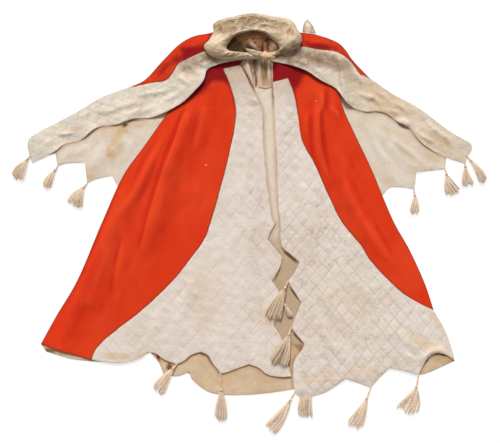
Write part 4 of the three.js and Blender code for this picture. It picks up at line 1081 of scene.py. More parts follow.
def flat_size(outline):
    """The smallest rectangle that the cut comes out of, and the cut's own area, in metres."""
    best = None
    for degrees in range(0, 90, 2):
        local = turned(outline, math.radians(degrees))
        size = (local.max(0) - local.min(0)) * MM
        if best is None or size[0] * size[1] < best[0] * best[1]:
            best = size
    ahead = np.roll(outline, -1, 0)
    area = abs((outline[:, 0] * ahead[:, 1] - ahead[:, 0] * outline[:, 1]).sum()) / 2 * MM * MM
    return (float(best[0]), float(best[1])), float(area)


def give_wall(piece, wall):
    """Gives the cloth its thickness, below the surface, and keeps it in the mesh."""
    shell = piece.modifiers.new("Wall", "SOLIDIFY")
    shell.thickness = wall * MM
    shell.offset = -1
    shell.use_rim = True
    seen = piece.evaluated_get(bpy.context.evaluated_depsgraph_get())
    whole = bpy.data.meshes.new_from_object(seen)
    thin = piece.data
    piece.modifiers.clear()
    piece.data = whole
    bpy.data.meshes.remove(thin)
    whole.name = piece.name
    whole.shade_smooth()
    whole.set_sharp_from_angle(angle=math.radians(SHARP_DEGREES))


# Rounds of averaging that give the cloth around a point, on quilted cloth and on plain
QUILTED_ROUNDS = 5
PLAIN_ROUNDS = 26


def hollows(mesh, height, rounds):
    """How far each point lies below the cloth around it, in mm."""
    pairs = np.empty(len(mesh.edges) * 2, int)
    mesh.edges.foreach_get("vertices", pairs)
    other = pairs.reshape(-1, 2)[:, ::-1].ravel()
    count = np.bincount(pairs, minlength=len(height))
    around = height.copy()
    for _ in range(rounds):
        around = (around + np.bincount(pairs, around[other], len(height)) / count) / 2
    return around - height


def point_attribute(mesh, name, kind, values):
    attribute = mesh.attributes.new(name, kind, "POINT")
    key = "vector" if kind == "FLOAT_VECTOR" else "value"
    attribute.data.foreach_set(key, np.ascontiguousarray(values, dtype=np.float32).ravel())


def give_lay(mesh, first, second, edge):
    """Where each point lies on the stitch lines, and how far from the edge."""
    point_attribute(mesh, "lay", "FLOAT_VECTOR", np.column_stack([first, second, edge]))


def give_shade(mesh, hollow, uncovered):
    """How far each point lies in a hollow, and how far it is from what covers it."""
    nothing = np.zeros(len(hollow))
    point_attribute(mesh, "shade", "FLOAT_VECTOR", np.column_stack([hollow, uncovered, nothing]))


def dress(piece, node, finish):
    """What every piece of the robe needs: its finish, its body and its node."""
    piece.data.materials.clear()
    piece.data.materials.append(finish)
    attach(piece, "root")
    if node:
        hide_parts(node)


def lay_cloth(name, node, slot, finish, top, cell, wall, turn=0.0, quilt=0.0, roll=1.0,
              cover=outside_cape):
    """One cut piece of cloth at its height, with a rolled edge and, where it is quilted, its pillows."""
    outline = closed_outline(CUT_STEP, *OUTLINES[node])
    if quilt:
        step = (QUILT_X / QUILT_CELLS, QUILT_Y / QUILT_CELLS)
        bm = cut_cloth(outline, step, QUILT_CELLS, turn, warped=True)
    else:
        bm = cut_cloth(outline, (cell, cell), 1, turn)
    mesh = mesh_from(bm, name)
    points = vertices_of(mesh)[:, :2]
    edge = nearest_on(points, outline, closed=True)[0]
    height = top(points)
    lattice = turned(points, -turn)
    for _ in range(2):
        lattice = turned(points, -turn) - quilt_warp(lattice)
    first, second = quilt_lines(lattice)
    if quilt:
        worn = clamp01(0.6 + 0.5 * ripple(points, 31, 140) + 0.4 * ripple(points, 32, 30))
        crushed = 0.30 * ripple(points, 33, 17, 1.8, turn) + 0.16 * ripple(points, 34, 9)
        pillows = quilt * worn * pillow(first) * pillow(second)
        height = height + (pillows + crushed) * ease(edge / 9)
    height = height - roll * (1 - ease(edge / 5)) - 0.2 * np.exp(-((edge - 10) / 2.5) ** 2)
    height = np.maximum(height, wall + FLOOR_CLEAR)
    set_vertices(mesh, np.column_stack([points, height]) * MM + SHIFT)
    give_lay(mesh, first, second, edge)
    give_shade(mesh, hollows(mesh, height, QUILTED_ROUNDS if quilt else PLAIN_ROUNDS), cover(points))
    # How far each point of red wool lies inside the painted shade under the cape
    if slot == "red_wool":
        point_attribute(mesh, "kept", "FLOAT", depth_inside(points, SHADE_UNDER_CAPE_OUTLINE))
    piece = new_object(name, mesh)
    give_wall(piece, wall)
    dress(piece, node, finish)
    flat, area = flat_size(outline)
    return piece


# The finishes

class Wire:
    """A node's output, on which sums are written as they are read."""

    def __init__(self, finish, socket):
        self.finish = finish
        self.socket = socket

    def __add__(self, other):
        return self.finish.maths("ADD", self, other)

    def __sub__(self, other):
        return self.finish.maths("SUBTRACT", self, other)

    def __rsub__(self, other):
        return self.finish.maths("SUBTRACT", other, self)

    def __mul__(self, other):
        return self.finish.maths("MULTIPLY", self, other)

    def __truediv__(self, other):
        return self.finish.maths("DIVIDE", self, other)

    __radd__ = __add__
    __rmul__ = __mul__


class Finish:
    """One procedural material, made a node at a time."""

    def __init__(self, name, **surface):
        self.material = bpy.data.materials.new(name)
        self.material.use_nodes = True
        self.tree = self.material.node_tree
        self.shader = self.tree.nodes["Principled BSDF"]
        for socket, value in surface.items():
            self.shader.inputs[socket.replace("_", " ")].default_value = value
        self.place = self.node("ShaderNodeTexCoord", out="Object")
        self.lay = self.node("ShaderNodeAttribute", {"attribute_name": "lay"}, out="Vector")
        shade = self.node("ShaderNodeAttribute", {"attribute_name": "shade"}, out="Vector")
        self.hollow = self.part(shade, 0)
        self.uncovered = self.part(shade, 1)

    def node(self, kind, settings=None, sockets=None, out=0):
        made = self.tree.nodes.new(kind)
        for key, value in (settings or {}).items():
            setattr(made, key, value)
        for key, value in (sockets or {}).items():
            if isinstance(value, Wire):
                self.tree.links.new(value.socket, made.inputs[key])
            else:
                made.inputs[key].default_value = value
        return Wire(self, made.outputs[out])

    def maths(self, operation, *values, clamp=False):
        settings = {"operation": operation, "use_clamp": clamp}
        return self.node("ShaderNodeMath", settings, dict(enumerate(values)))

    def part(self, vector, axis):
        return self.node("ShaderNodeSeparateXYZ", None, {0: vector}, out=axis)

    def moved(self, vector, location=(0, 0, 0), rotation=(0, 0, 0), scale=(1, 1, 1)):
        return self.node(
            "ShaderNodeMapping", {"vector_type": "TEXTURE"},
            {"Vector": vector, "Location": location, "Rotation": rotation, "Scale": scale},
        )

    def noise(self, scale, detail=2.0, rough=0.5, vector=None, warp=0.0):
        return self.node(
            "ShaderNodeTexNoise", {"noise_dimensions": "3D"},
            {"Vector": vector or self.place, "Scale": scale, "Detail": detail, "Roughness": rough,
             "Distortion": warp},
            out="Fac",
        )

    def step(self, value, low, high):
        """0 below low, 1 above high, eased between them."""
        settings = {"interpolation_type": "SMOOTHSTEP"}
        return self.node("ShaderNodeMapRange", settings, {"Value": value, "From Min": low, "From Max": high})

    def mix(self, share, first, second, blend="MIX"):
        settings = {"data_type": "RGBA", "blend_type": blend}
        return self.node("ShaderNodeMix", settings, {0: share, 6: first, 7: second}, out=2)

    def spots(self, rows, rough=18.0):
        """Soft patches with ragged rims, one to a row, the strongest where they overlap."""
        ragged = self.noise(rough, 4.0, 0.6)
        total = None
        for x, y, wide, long, degrees, strength in rows:
            centre = (x * MM + float(SHIFT[0]), y * MM + float(SHIFT[1]), 0.0)
            size = (wide * MM, long * MM, 1.0)
            local = self.moved(self.place, centre, (0, 0, math.radians(degrees)), size)
            flat = self.node("ShaderNodeVectorMath", {"operation": "MULTIPLY"}, {0: local, 1: (1, 1, 0)})
            far = self.node("ShaderNodeVectorMath", {"operation": "LENGTH"}, {0: flat}, out="Value")
            spot = self.step(far + (ragged - 0.5) * 1.4, 1.25, 0.35) * strength
            total = spot if total is None else self.maths("MAXIMUM", total, spot)
        return total

    def bump(self, height, distance, strength=1.0, below=None):
        sockets = {"Height": height, "Distance": distance, "Strength": strength}
        if below:
            sockets["Normal"] = below
        return self.node("ShaderNodeBump", None, sockets, out="Normal")

    def weave(self, pitch, turn=0.0):
        """Threads over and under each other, pitch metres apart."""
        local = self.moved(self.place, rotation=(0, 0, turn), scale=(pitch, pitch, pitch))
        warp = self.maths("SINE", self.part(local, 0) * (2 * math.pi))
        weft = self.maths("SINE", self.part(local, 1) * (2 * math.pi))
        return warp * weft

    def stitches(self, half_width):
        """1 along the quilting's stitch lines, and where the thread dips into the cloth along them."""
        first, second = self.part(self.lay, 0), self.part(self.lay, 1)
        spacing = 1 / math.hypot(1 / (2 * QUILT_X), 1 / (2 * QUILT_Y))
        near = []
        for line in (first, second):
            off = self.maths("ABSOLUTE", self.maths("FRACT", line + 0.5) - 0.5) * spacing
            near.append(self.step(off, half_width * 2.2, half_width * 0.4))
        dashes = []
        for line in (second, first):
            run = self.maths("ABSOLUTE", self.maths("FRACT", line * (spacing / STITCH_LENGTH)) - 0.5)
            dashes.append(self.step(run, 0.16, 0.3))
        lines = self.maths("MAXIMUM", near[0], near[1])
        thread = self.maths("MAXIMUM", near[0] * dashes[0], near[1] * dashes[1])
        return lines, thread

    def surface(self, colour, roughness=None, normal=None):
        links = self.tree.links
        links.new(colour.socket, self.shader.inputs["Base Color"])
        if roughness:
            links.new(roughness.socket, self.shader.inputs["Roughness"])
        if normal:
            links.new(normal.socket, self.shader.inputs["Normal"])
        return self.material


def linear(red, green, blue):
    """A colour given as it looks on a screen, 0 to 255, as the linear one that a shader takes."""
    def one(value):
        share = value / 255
        return share / 12.92 if share <= 0.04045 else ((share + 0.055) / 1.055) ** 2.4
    return one(red), one(green), one(blue)


def rgba(colour, share=1.0):
    return (colour[0] * share, colour[1] * share, colour[2] * share, 1.0)


def made_once(maker):
    """Each finish is one material, however many pieces have it."""
    kept = {}

    def get():
        if "material" not in kept:
            kept["material"] = maker()
        return kept["material"]
    return get


# What a user may change

class RobeSizes(PropertyGroup):
    """Sizes of the cloth's fine form."""

    red_cell: FloatProperty(
        name="Red wool cell", description="Side of a cell of the red fronts' cloth, in mm",
        default=4.2, min=3.0)
    lining_cell: FloatProperty(
        name="Lining cell", description="Side of a cell of the wings' lining, in mm", default=5.0, min=3.0)
    back_cell: FloatProperty(
        name="Back cell", description="Side of a cell of the hidden back, in mm", default=9.0, min=5.0)
    puff: FloatProperty(
        name="Quilting puff", description="How far the quilting stands above its stitches, in mm",
        default=PUFF, min=0.5, max=3.0)
    strands: IntProperty(
        name="Tassel strands", description="Threads in one tassel", default=110, min=30, max=150)
    strand_radius: FloatProperty(
        name="Strand radius", description="Radius of a tassel's thread, in mm",
        default=1.3, min=0.4, max=2.0)


def colour_property(name, description, red, green, blue):
    return FloatVectorProperty(
        name=name, description=description, subtype="COLOR", size=3, min=0.0, max=1.0,
        default=linear(red, green, blue))


class RobeColours(PropertyGroup):
    """Colours of the cloth."""

    red: colour_property("Red wool", "Scarlet wool of the fronts, back and cape", 219, 55, 20)
    # Rubbed wool, and the painted highlight on the ridges of the wool's folds
    red_wear_and_highlight: colour_property("Rubbed red", "Wool where it is rubbed", 228, 74, 34)
    # Darker wool for streaks and specks, and the painted shade in the hollows and dark bands of its folds
    red_deep: colour_property("Deep red", "Wool in the hollows of its folds", 164, 24, 14)
    # Painted shade of the red wool: under the cape, beside its edge, and on bits of red in shaded gaps
    red_in_shade: colour_property("Crimson", "Wool that the cape kept from the light", 132, 10, 22)
    seam_red: colour_property("Seam red", "Wool along its seams and cut edges", 146, 46, 20)
    border: colour_property("Border", "Quilted satin of the front borders", 229, 216, 204)
    border_warm: colour_property("Border warm", "The same satin where it is warmer", 222, 206, 192)
    band: colour_property("Cape band", "Aged quilted satin of the cape", 230, 217, 198)
    band_grey: colour_property("Cape band grey", "The same satin where it is greyer", 215, 203, 187)
    # Brown soil, and painted shade in hollows, sunk lines, towards the neck and beside the cape's edge
    soil_and_shade: colour_property("Soil", "Brown soil at the hems and stitches", 164, 132, 98)
    # Brown soil near the neck and at worn edges, and painted shade in the collar's and tie's hollows and on
    # the bands by the collar
    neck_soil_and_shade: colour_property("Neck soil", "Dark brown soil near the neck", 128, 97, 60)
    wing_lining: colour_property("Wing lining", "Cream lining of the wings", 235, 220, 203)
    wing_warm: colour_property("Wing lining warm", "The wings' lining where it is yellower", 224, 202, 172)
    stain: colour_property("Stain", "Yellow-brown stains of the lining", 218, 178, 122)
    back_lining: colour_property("Back lining", "Peach-beige lining of the back", 212, 181, 146)
    facing: colour_property("Facing", "Plain facing between the front edges", 238, 222, 200)
    collar: colour_property("Collar", "Worn quilted satin of the collar", 207, 184, 152)
    collar_brown: colour_property("Collar brown", "The collar where it is soiled", 160, 130, 94)
    neck_rose: colour_property("Neck rose", "Rose-brown lining in the open neck", 160, 110, 78)
    # Painted shadow in the open neck
    neck_shadow: colour_property("Neck dark", "Darkest soil in the open neck", 66, 50, 28)
    tie: colour_property("Tie", "Soft cloth of the neck tie", 222, 188, 154)
    tassel: colour_property("Tassel", "Cream wool threads of the tassels", 238, 217, 192)
    tassel_dark: colour_property("Tassel shade", "Darker threads of the tassels", 206, 176, 144)
    # Painted shadow in the gaps below cut edges
    gap_shadow: colour_property("Hole", "Darkest brown in gaps below cut edges", 112, 60, 22)
    # Painted brown shadow on the cloth just below the cape's and the fronts' edges
    brown: colour_property("Edge brown", "Brown cloth just below the cape's edge", 190, 140, 86)


def sizes():
    return bpy.context.scene.robe_sizes


def colour(name, share=1.0):
    return rgba(getattr(bpy.context.scene.robe_colours, name), share)


# The finishes of the robe's slots

@made_once
def red_wool():
    f = Finish(
        "scarlet_wool", Roughness=0.92, Sheen_Weight=0.06, Sheen_Roughness=0.5, Specular_IOR_Level=0.12)
    f.shader.inputs["Sheen Tint"].default_value = colour("red_wear_and_highlight")
    broad = f.noise(5.0, 3.0, 0.55)
    drawn = f.noise(26.0, 3.0, 0.6, vector=f.moved(f.place, rotation=(0, 0, 1.15), scale=(3.0, 1, 1)))
    nap = f.noise(1500.0, 3.0, 0.65)
    fibre = f.noise(520.0, 3.0, 0.7, vector=f.moved(f.place, rotation=(0, 0, 1.2), scale=(4.0, 1, 1)))
    shade = f.mix(f.step(broad, 0.38, 0.68) * 0.45, colour("red"), colour("red_wear_and_highlight"))
    shade = f.mix(f.step(drawn, 0.45, 0.75) * 0.15, shade, colour("red_deep", 1.3))
    # Painted shade in the hollows of the wool's folds, and painted highlight on their ridges
    shade = f.mix(f.step(f.hollow, 0.1, 1.3) * 0.55, shade, colour("red_deep", 1.25))
    shade = f.mix(f.step(f.hollow, -0.15, -1.2) * 0.5, shade, colour("red_wear_and_highlight", 1.06))
    # Painted shade along the bands of the fronts' folds
    shade = f.mix(f.spots(RED_SHADES, 8.0) * 0.4, shade, colour("red_deep", 1.1))
    # Painted shade: the fronts' patch under the cape and the cape's strips, drawn crimson
    kept = f.node("ShaderNodeAttribute", {"attribute_name": "kept"}, out="Fac")
    red_in_shade = f.step(kept + (broad - 0.5) * 24.0, -14.0, 10.0) * f.step(f.part(f.place, 1), 0.36, 0.42)
    red_in_shade = f.maths("MAXIMUM", red_in_shade, f.spots(CAPE_SHADE_STRIPS, 30.0))
    shade = f.mix(red_in_shade * 0.92, shade, colour("red_in_shade"))
    # Painted shadow: the wool darker beside the cape's edge, and on the cape beside the collar
    shade = f.mix(f.step(f.uncovered, 13.0, -1.0) * 0.7, shade, colour("red_in_shade", 0.6))
    edge = f.part(f.lay, 2)
    shade = f.mix(f.step(edge, 5.0, 1.5) * f.step(broad, 0.2, 0.5) * 0.85, shade, colour("seam_red"))
    shade = f.mix(f.step(nap, 0.55, 0.8) * 0.2, shade, colour("red_deep", 1.2))
    lint_sockets = {"Vector": f.place, "Scale": 42.0}
    lint = f.node("ShaderNodeTexVoronoi", {"feature": "F1"}, lint_sockets, out="Distance")
    shade = f.mix(f.step(lint + f.noise(90.0) * 0.12, 0.110, 0.09) * 0.12, shade, colour("wing_lining"))
    specks = f.spots(((-154, 210, 3.2, 2.4, 0, 0.8), (231, 434, 2.4, 2.4, 0, 0.6)), 400.0)
    shade = f.mix(specks, shade, colour("border_warm"))
    twill = f.weave(0.0016, 0.6)
    normal = f.bump(nap * 0.7 + fibre * 0.5 + twill * 0.12, 0.0006, 0.5)
    return f.surface(shade, fibre * 0.14 + 0.82, normal)


def quilted_satin(name, light, other, stains, line_soil_and_shade, surface, soiled=()):
    """Quilted cream satin: pillows, sunk stitches, dips of thread, ageing, stains, painted shade and
    highlight.
    """
    f = Finish(name, **surface)
    lines, thread = f.stitches(STITCH_HALF_WIDTH)
    broad = f.noise(7.0, 4.0, 0.6)
    fine = f.noise(60.0, 4.0, 0.6)
    patchy = f.step(f.noise(11.0, 3.0, 0.6), 0.36, 0.62)
    lines = lines * (patchy * 0.75 + 0.25)
    edge = f.part(f.lay, 2)
    tone = f.mix(f.step(broad + (fine - 0.5) * 0.3, 0.35, 0.68), colour(light), colour(other))
    tone = f.mix(f.step(fine, 0.55, 0.8) * 0.16, tone, colour("soil_and_shade"))
    # Painted shade in the hollows of the quilting, and painted highlight on its pillows
    tone = f.mix(f.step(f.hollow, 0.12, 0.9) * 0.25, tone, colour("soil_and_shade", 1.15))
    tone = f.mix(f.step(f.hollow, -0.1, -0.6) * 0.25, tone, colour("border", 1.04))
    worn = 1.0
    if not soiled:
        # The left border is smoother and cleaner than the right one
        rightward = f.step(f.part(f.place, 0), -0.05, 0.16) * f.step(f.part(f.place, 1), 0.35, 0.0)
        worn = rightward * 0.65 + 0.35
    cloudy = f.noise(34.0, 3.0, 0.55)
    tone = f.mix(f.step(cloudy, 0.52, 0.72) * worn * 0.3, tone, colour("soil_and_shade", 1.35))
    tone = f.mix(f.spots(stains) * 0.8, tone, colour("stain"))
    pucker = f.maths("ABSOLUTE", f.noise(30.0, 2.0, 0.5, warp=0.7) - 0.5)
    pucker = f.step(pucker, 0.022, 0.004) * f.step(f.noise(13.0, 2.0), 0.42, 0.62)
    # Soil and painted shade in the sunk stitch lines and the puckers
    tone = f.mix(lines * worn * line_soil_and_shade, tone, colour("soil_and_shade"))
    tone = f.mix(pucker * worn * line_soil_and_shade, tone, colour("soil_and_shade"))
    tone = f.mix(thread * 0.25, tone, colour("border", 1.05))
    if soiled:
        # Brown soil and painted shade on the bands near the collar
        brown = f.spots(soiled, 26.0) * (f.step(fine, 0.3, 0.62) * 0.3 + 0.7)
        tone = f.mix(f.step(f.part(f.place, 0), 0.1, 0.4) * 0.2, tone, colour("soil_and_shade", 1.25))
        tone = f.mix(brown * 0.9, tone, colour("neck_soil_and_shade"))
    else:
        # Painted shade: the borders darker towards the neck, under the cape
        tone = f.mix(f.step(f.part(f.place, 1), 0.36, 0.54) * 0.5, tone, colour("soil_and_shade", 1.25))
        # Painted shadow beside the cape's edge
        tone = f.mix(f.step(f.uncovered, 16.0, -4.0) * 0.3, tone, colour("soil_and_shade"))
    worn_edge = f.step(edge, 3.6, 0.6) * f.step(f.noise(16.0, 3.0, 0.6), 0.4, 0.62)
    tone = f.mix(worn_edge * 0.6, tone, colour("neck_soil_and_shade"))
    crumple = f.noise(110.0, 3.0, 0.55, warp=0.6)
    threads = f.weave(0.0008)
    relief = crumple * 0.9 + fine * 0.6 - lines * 0.9 - pucker * 0.5 + thread * 0.4 + threads * 0.05
    normal = f.bump(relief, 0.0016, 0.6)
    return f.surface(tone, fine * 0.2 + lines * 0.2 + 0.45, normal)


@made_once
def border_satin():
    surface = {"Specular_IOR_Level": 0.35, "Sheen_Weight": 0.05}
    return quilted_satin("cream_quilted_border", "border", "border_warm", BORDER_STAINS, 0.36, surface)


@made_once
def band_satin():
    surface = {"Specular_IOR_Level": 0.4, "Sheen_Weight": 0.05}
    return quilted_satin("aged_quilted_band", "band", "band_grey", BAND_STAINS, 0.22, surface, NECK_SOIL_AND_SHADE)


def plain_cotton(name, light, other, stains, pitch, edge_shadow=0.7, dark=(), red=(), low=None):
    f = Finish(name, Roughness=0.85, Specular_IOR_Level=0.25, Sheen_Weight=0.05)
    broad = f.noise(9.0, 4.0, 0.6)
    fine = f.noise(80.0, 4.0, 0.65)
    edge = f.part(f.lay, 2)
    tone = f.mix(f.step(broad + (fine - 0.5) * 0.4, 0.38, 0.7) * 0.8, colour(light), colour(other))
    if stains:
        tone = f.mix(f.spots(stains, 44.0) * 0.85, tone, colour("stain"))
    tone = f.mix(f.step(fine, 0.58, 0.8) * 0.2, tone, colour("soil_and_shade"))
    # Painted shade in the hollows of the cloth, and painted highlight on its ridges
    tone = f.mix(f.step(f.hollow, 0.1, 1.4) * 0.22, tone, colour("soil_and_shade", 1.3))
    tone = f.mix(f.step(f.hollow, -0.1, -1.0) * 0.3, tone, colour("border", 1.06))
    # Painted brown shadow beside the edges of the cloth that covers it
    tone = f.mix(f.step(f.uncovered, 17.0, -2.0) * edge_shadow, tone, colour("brown"))
    worn_edge = f.step(edge, 4.0, 0.6) * f.step(f.noise(16.0, 3.0, 0.6), 0.4, 0.62)
    tone = f.mix(worn_edge * 0.5, tone, colour("neck_soil_and_shade"))
    if low:
        share = f.step(f.part(f.place, 1), 0.02, -0.14) * 0.85
        tone = f.mix(share, tone, colour(low, 0.8))
    # Painted shadows below the edges of the cloth above
    if dark:
        tone = f.mix(f.spots(dark, 60.0) * 0.9, tone, colour("gap_shadow"))
    if red:
        tone = f.mix(f.spots(red, 60.0), tone, colour("red_in_shade"))
    threads = f.weave(pitch)
    slub = f.noise(300.0, 2.0, 0.5, vector=f.moved(f.place, scale=(6.0, 1, 1)))
    crumple = f.noise(45.0, 3.0, 0.6, warp=0.8)
    normal = f.bump(threads * 0.3 + slub * 0.5 + fine * 0.8 + crumple * 1.2, 0.0016, 0.5)
    return f.surface(tone, fine * 0.15 + 0.75, normal)


@made_once
def wing_cotton():
    return plain_cotton(
        "cream_wing_lining", "wing_lining", "wing_warm", LINING_STAINS, 0.0011, dark=LINING_SHADOWS)


@made_once
def back_cotton():
    return plain_cotton(
        "peach_back_lining", "back_lining", "wing_warm", BACK_STAINS, 0.0022, 0.8, BACK_SHADOWS, BACK_RED)


@made_once
def facing_cotton():
    return plain_cotton(
        "pale_facing", "facing", "border_warm", FACING_STAINS, 0.001, 0.5, FACING_SHADOWS, low="back_lining")


@made_once
def collar_satin():
    f = Finish("worn_collar_satin", Specular_IOR_Level=0.35, Sheen_Weight=0.05)
    lines, thread = f.stitches(STITCH_HALF_WIDTH)
    broad = f.noise(22.0, 4.0, 0.6)
    fine = f.noise(90.0, 4.0, 0.6, warp=0.5)
    patchy = f.step(f.noise(48.0, 3.0, 0.6), 0.46, 0.6)
    soiled = f.spots(COLLAR_SOIL, 30.0) * (f.step(broad, 0.3, 0.6) * 0.5 + 0.5)
    tone = f.mix(f.step(broad, 0.4, 0.65), colour("collar"), colour("collar", 1.12))
    tone = f.mix(soiled, tone, colour("collar_brown"))
    tone = f.mix(soiled * patchy * 0.6, tone, colour("neck_soil_and_shade"))
    tone = f.mix(f.step(fine, 0.5, 0.72) * 0.25, tone, colour("collar_brown"))
    # Painted shade in the collar's hollows, and painted highlight on its ridges
    tone = f.mix(f.step(f.hollow, 0.1, 1.3) * 0.75, tone, colour("neck_soil_and_shade", 0.9))
    tone = f.mix(f.step(f.hollow, -0.2, -1.3) * 0.45, tone, colour("border"))
    # Soil and painted shade in the sunk stitch lines
    tone = f.mix(lines * 0.2, tone, colour("soil_and_shade", 0.8))
    relief = fine * 0.9 + f.noise(240.0, 3.0, 0.6) * 0.3 - lines * 0.6 + thread * 0.3
    return f.surface(tone, fine * 0.2 + 0.5, f.bump(relief, 0.0018, 0.45))


@made_once
def tie_cloth():
    f = Finish("soft_tie_cloth", Roughness=0.8, Specular_IOR_Level=0.25, Sheen_Weight=0.1)
    fine = f.noise(90.0, 3.0, 0.55, vector=f.moved(f.place, scale=(1, 3.0, 1)))
    ribs = f.weave(0.0011, 0.1)
    edge = f.part(f.lay, 2)
    tone = f.mix(f.step(fine, 0.4, 0.7) * 0.6, colour("tie"), colour("soil_and_shade", 1.5))
    # Soil of the tie, and painted shade along the right tail's trough
    tone = f.mix(f.spots(TIE_SOIL_AND_SHADE, 60.0) * 0.75, tone, colour("neck_soil_and_shade"))
    # Painted shade in the tie's hollows, and painted highlight on its ridges
    tone = f.mix(f.step(f.hollow, 0.05, 0.8) * 0.7, tone, colour("neck_soil_and_shade", 0.9))
    tone = f.mix(f.step(f.hollow, -0.1, -0.8) * 0.5, tone, colour("border_warm"))
    # Painted shadow along the tie's edges
    tone = f.mix(f.step(edge, 3.5, 0.5) * 0.5, tone, colour("gap_shadow"))
    return f.surface(tone, None, f.bump(fine * 0.8 + ribs * 0.2, 0.0012, 0.5))


@made_once
def neck_cloth():
    f = Finish("neck_folds_cloth", Roughness=0.85, Specular_IOR_Level=0.2, Sheen_Weight=0.05)
    broad = f.noise(30.0, 4.0, 0.6)
    fine = f.noise(140.0, 4.0, 0.6)
    tone = f.mix(f.step(broad, 0.35, 0.65), colour("neck_rose"), colour("neck_rose", 0.72))
    # Painted shadow in the open neck
    tone = f.mix(f.spots(NECK_SHADOWS, 40.0), tone, colour("neck_shadow"))
    tone = f.mix(f.spots(NECK_PALE, 60.0), tone, colour("facing"))
    tone = f.mix(f.spots(NECK_RED, 60.0), tone, colour("red_in_shade", 0.5))
    # Painted shade in the hollows of the neck's folds
    tone = f.mix(f.step(f.hollow, 0.1, 1.2) * 0.7, tone, colour("neck_shadow"))
    normal = f.bump(fine + f.weave(0.0011) * 0.2, 0.0012, 0.5)
    return f.surface(tone, None, normal)


@made_once
def tassel_wool():
    f = Finish("tassel_threads", Roughness=0.85, Specular_IOR_Level=0.2, Sheen_Weight=0.1)
    strand = f.node("ShaderNodeAttribute", {"attribute_name": "strand"}, out="Fac")
    fine = f.noise(260.0, 3.0, 0.6)
    dark = f.step(strand + (fine - 0.5) * 0.3, 0.35, 1.0) * 0.7
    dark = dark + f.step(f.noise(60.0, 3.0, 0.6), 0.5, 0.7) * 0.25
    tone = f.mix(dark, colour("tassel"), colour("tassel_dark"))
    return f.surface(tone, None, f.bump(fine + f.noise(900.0) * 0.5, 0.0006, 0.4))


# The collar and the neck

def curve_through(rows):
    """Points of a centripetal curve through the rows, asked for by their share of the rows."""
    points = np.array(rows, float)
    ends = past_ends(points)

    def at(share):
        place = min(share * (len(points) - 1), len(points) - 1 - 1e-9)
        i = int(place)
        p0, p1, p2, p3 = ends[i:i + 4]
        m1, m2 = slopes(p0, p1, p2, p3)
        return between(p1, p2, m1, m2, place - i)
    return at


def make_collar():
    inner = curve_through([(r[0], r[1], r[4]) for r in COLLAR_SECTIONS])
    outer = curve_through([(r[2], r[3], r[5]) for r in COLLAR_SECTIONS])
    crests = curve_through([(i * 10, r[6], 0) for i, r in enumerate(COLLAR_SECTIONS)])
    traced = np.linspace(0, 1, 900)
    middle = np.array([(inner(s) + outer(s)) / 2 for s in traced])
    lengths = np.concatenate([[0], np.cumsum(np.linalg.norm(np.diff(middle, axis=0), axis=1))])
    rows = np.interp(np.linspace(0, lengths[-1], COLLAR_ROUND + 1), lengths, traced)

    mesh, share = grid_mesh("collar_quilted", COLLAR_ACROSS, COLLAR_ROUND)
    row = np.rint(share[:, 1] * COLLAR_ROUND).astype(int)
    start = np.array([inner(s) for s in rows])[row]
    end = np.array([outer(s) for s in rows])[row]
    crest = np.array([crests(s)[1] for s in rows])[row]
    t = (1 - np.cos(math.pi * share[:, 0])) / 2
    places = lerp(start, end, t[:, None])
    behind = ease((places[:, 1] - BEHIND_NECK_Y) / BEHIND_NECK_RUN)

    # Behind the neck the cloth stands up steeply and then lies nearly flat; at the sides it rolls over
    peak = 0.38
    skew = np.where(t < peak, t / peak / 2, 0.5 + (t - peak) / (1 - peak) / 2)
    rolled = np.sin(math.pi * skew) ** ARCH_POWER
    stand = np.sqrt(1 - (1 - clamp01(t / 0.06)) ** 2)
    drop = np.sqrt(np.maximum(1 - (np.maximum(t - 0.8, 0) / 0.2) ** 2, 0))
    arch = lerp(rolled, stand * drop * (1 - 0.3 * t), behind)
    base = lerp(start[:, 2], end[:, 2], t)
    local = np.column_stack([share[:, 1] * lengths[-1], share[:, 0] * COLLAR_GIRTH])
    ends = ease(np.minimum(share[:, 1], 1 - share[:, 1]) / 0.09)
    first = local[:, 0] / DIAMOND_ROUND + local[:, 1] / DIAMOND_ACROSS
    second = local[:, 0] / DIAMOND_ROUND - local[:, 1] / DIAMOND_ACROSS

    # Long wrinkles and a thin turned edge along the back, and soft puckers over the sides
    wrinkled = 4.6 * (0.4 - np.abs(ripple(local, 41, 34, 2.4, 0.15)))
    wrinkled = wrinkled + 2.2 * (0.4 - np.abs(ripple(local, 42, 22, 1.5, -0.6)))
    wrinkled = wrinkled + 0.25 * ripple(local, 45, 8, 1.5)
    turned_edge = 1.6 + 1.2 * ripple(local, 48, 26)
    wrinkled = wrinkled + turned_edge * np.exp(-((t - 0.06) / 0.035) ** 2)
    pucker = 2.6 * (0.4 - np.abs(ripple(local, 43, 34, 1.6, 1.2))) + 0.6 * ripple(local, 44, 11, 1.6, 1.0)
    quilting = pillow(first) * pillow(second) * (1 - 0.5 * behind)
    rise = lerp(pucker, wrinkled, behind) + quilting
    height = base + (crest - base) * arch + rise * arch ** 0.5 * lerp(0.3, 1, ends)
    floor = base + 0.8 * arch
    places[:, 2] = np.clip(height, floor, COLLAR_TOP)

    # The fall's outer edge waves a little
    wander = 2.0 * ripple(local, 47, 30) * ease((share[:, 0] - 0.55) / 0.45) * behind
    along = (end - start)[:, :2]
    along = along / np.linalg.norm(along, axis=1)[:, None]
    places[:, :2] += along * (wander - 1.2 * behind * (share[:, 0] > 0.55))[:, None]
    set_vertices(mesh, places * MM + SHIFT)
    edge = np.minimum(share[:, 0], 1 - share[:, 0]) * COLLAR_GIRTH
    give_lay(mesh, first, second, edge)
    give_shade(mesh, hollows(mesh, places[:, 2], 14), edge)
    mesh.flip_normals()
    piece = new_object("collar_quilted", mesh)
    give_wall(piece, COLLAR_SHELL)
    dress(piece, "collar", collar_satin())
    return piece


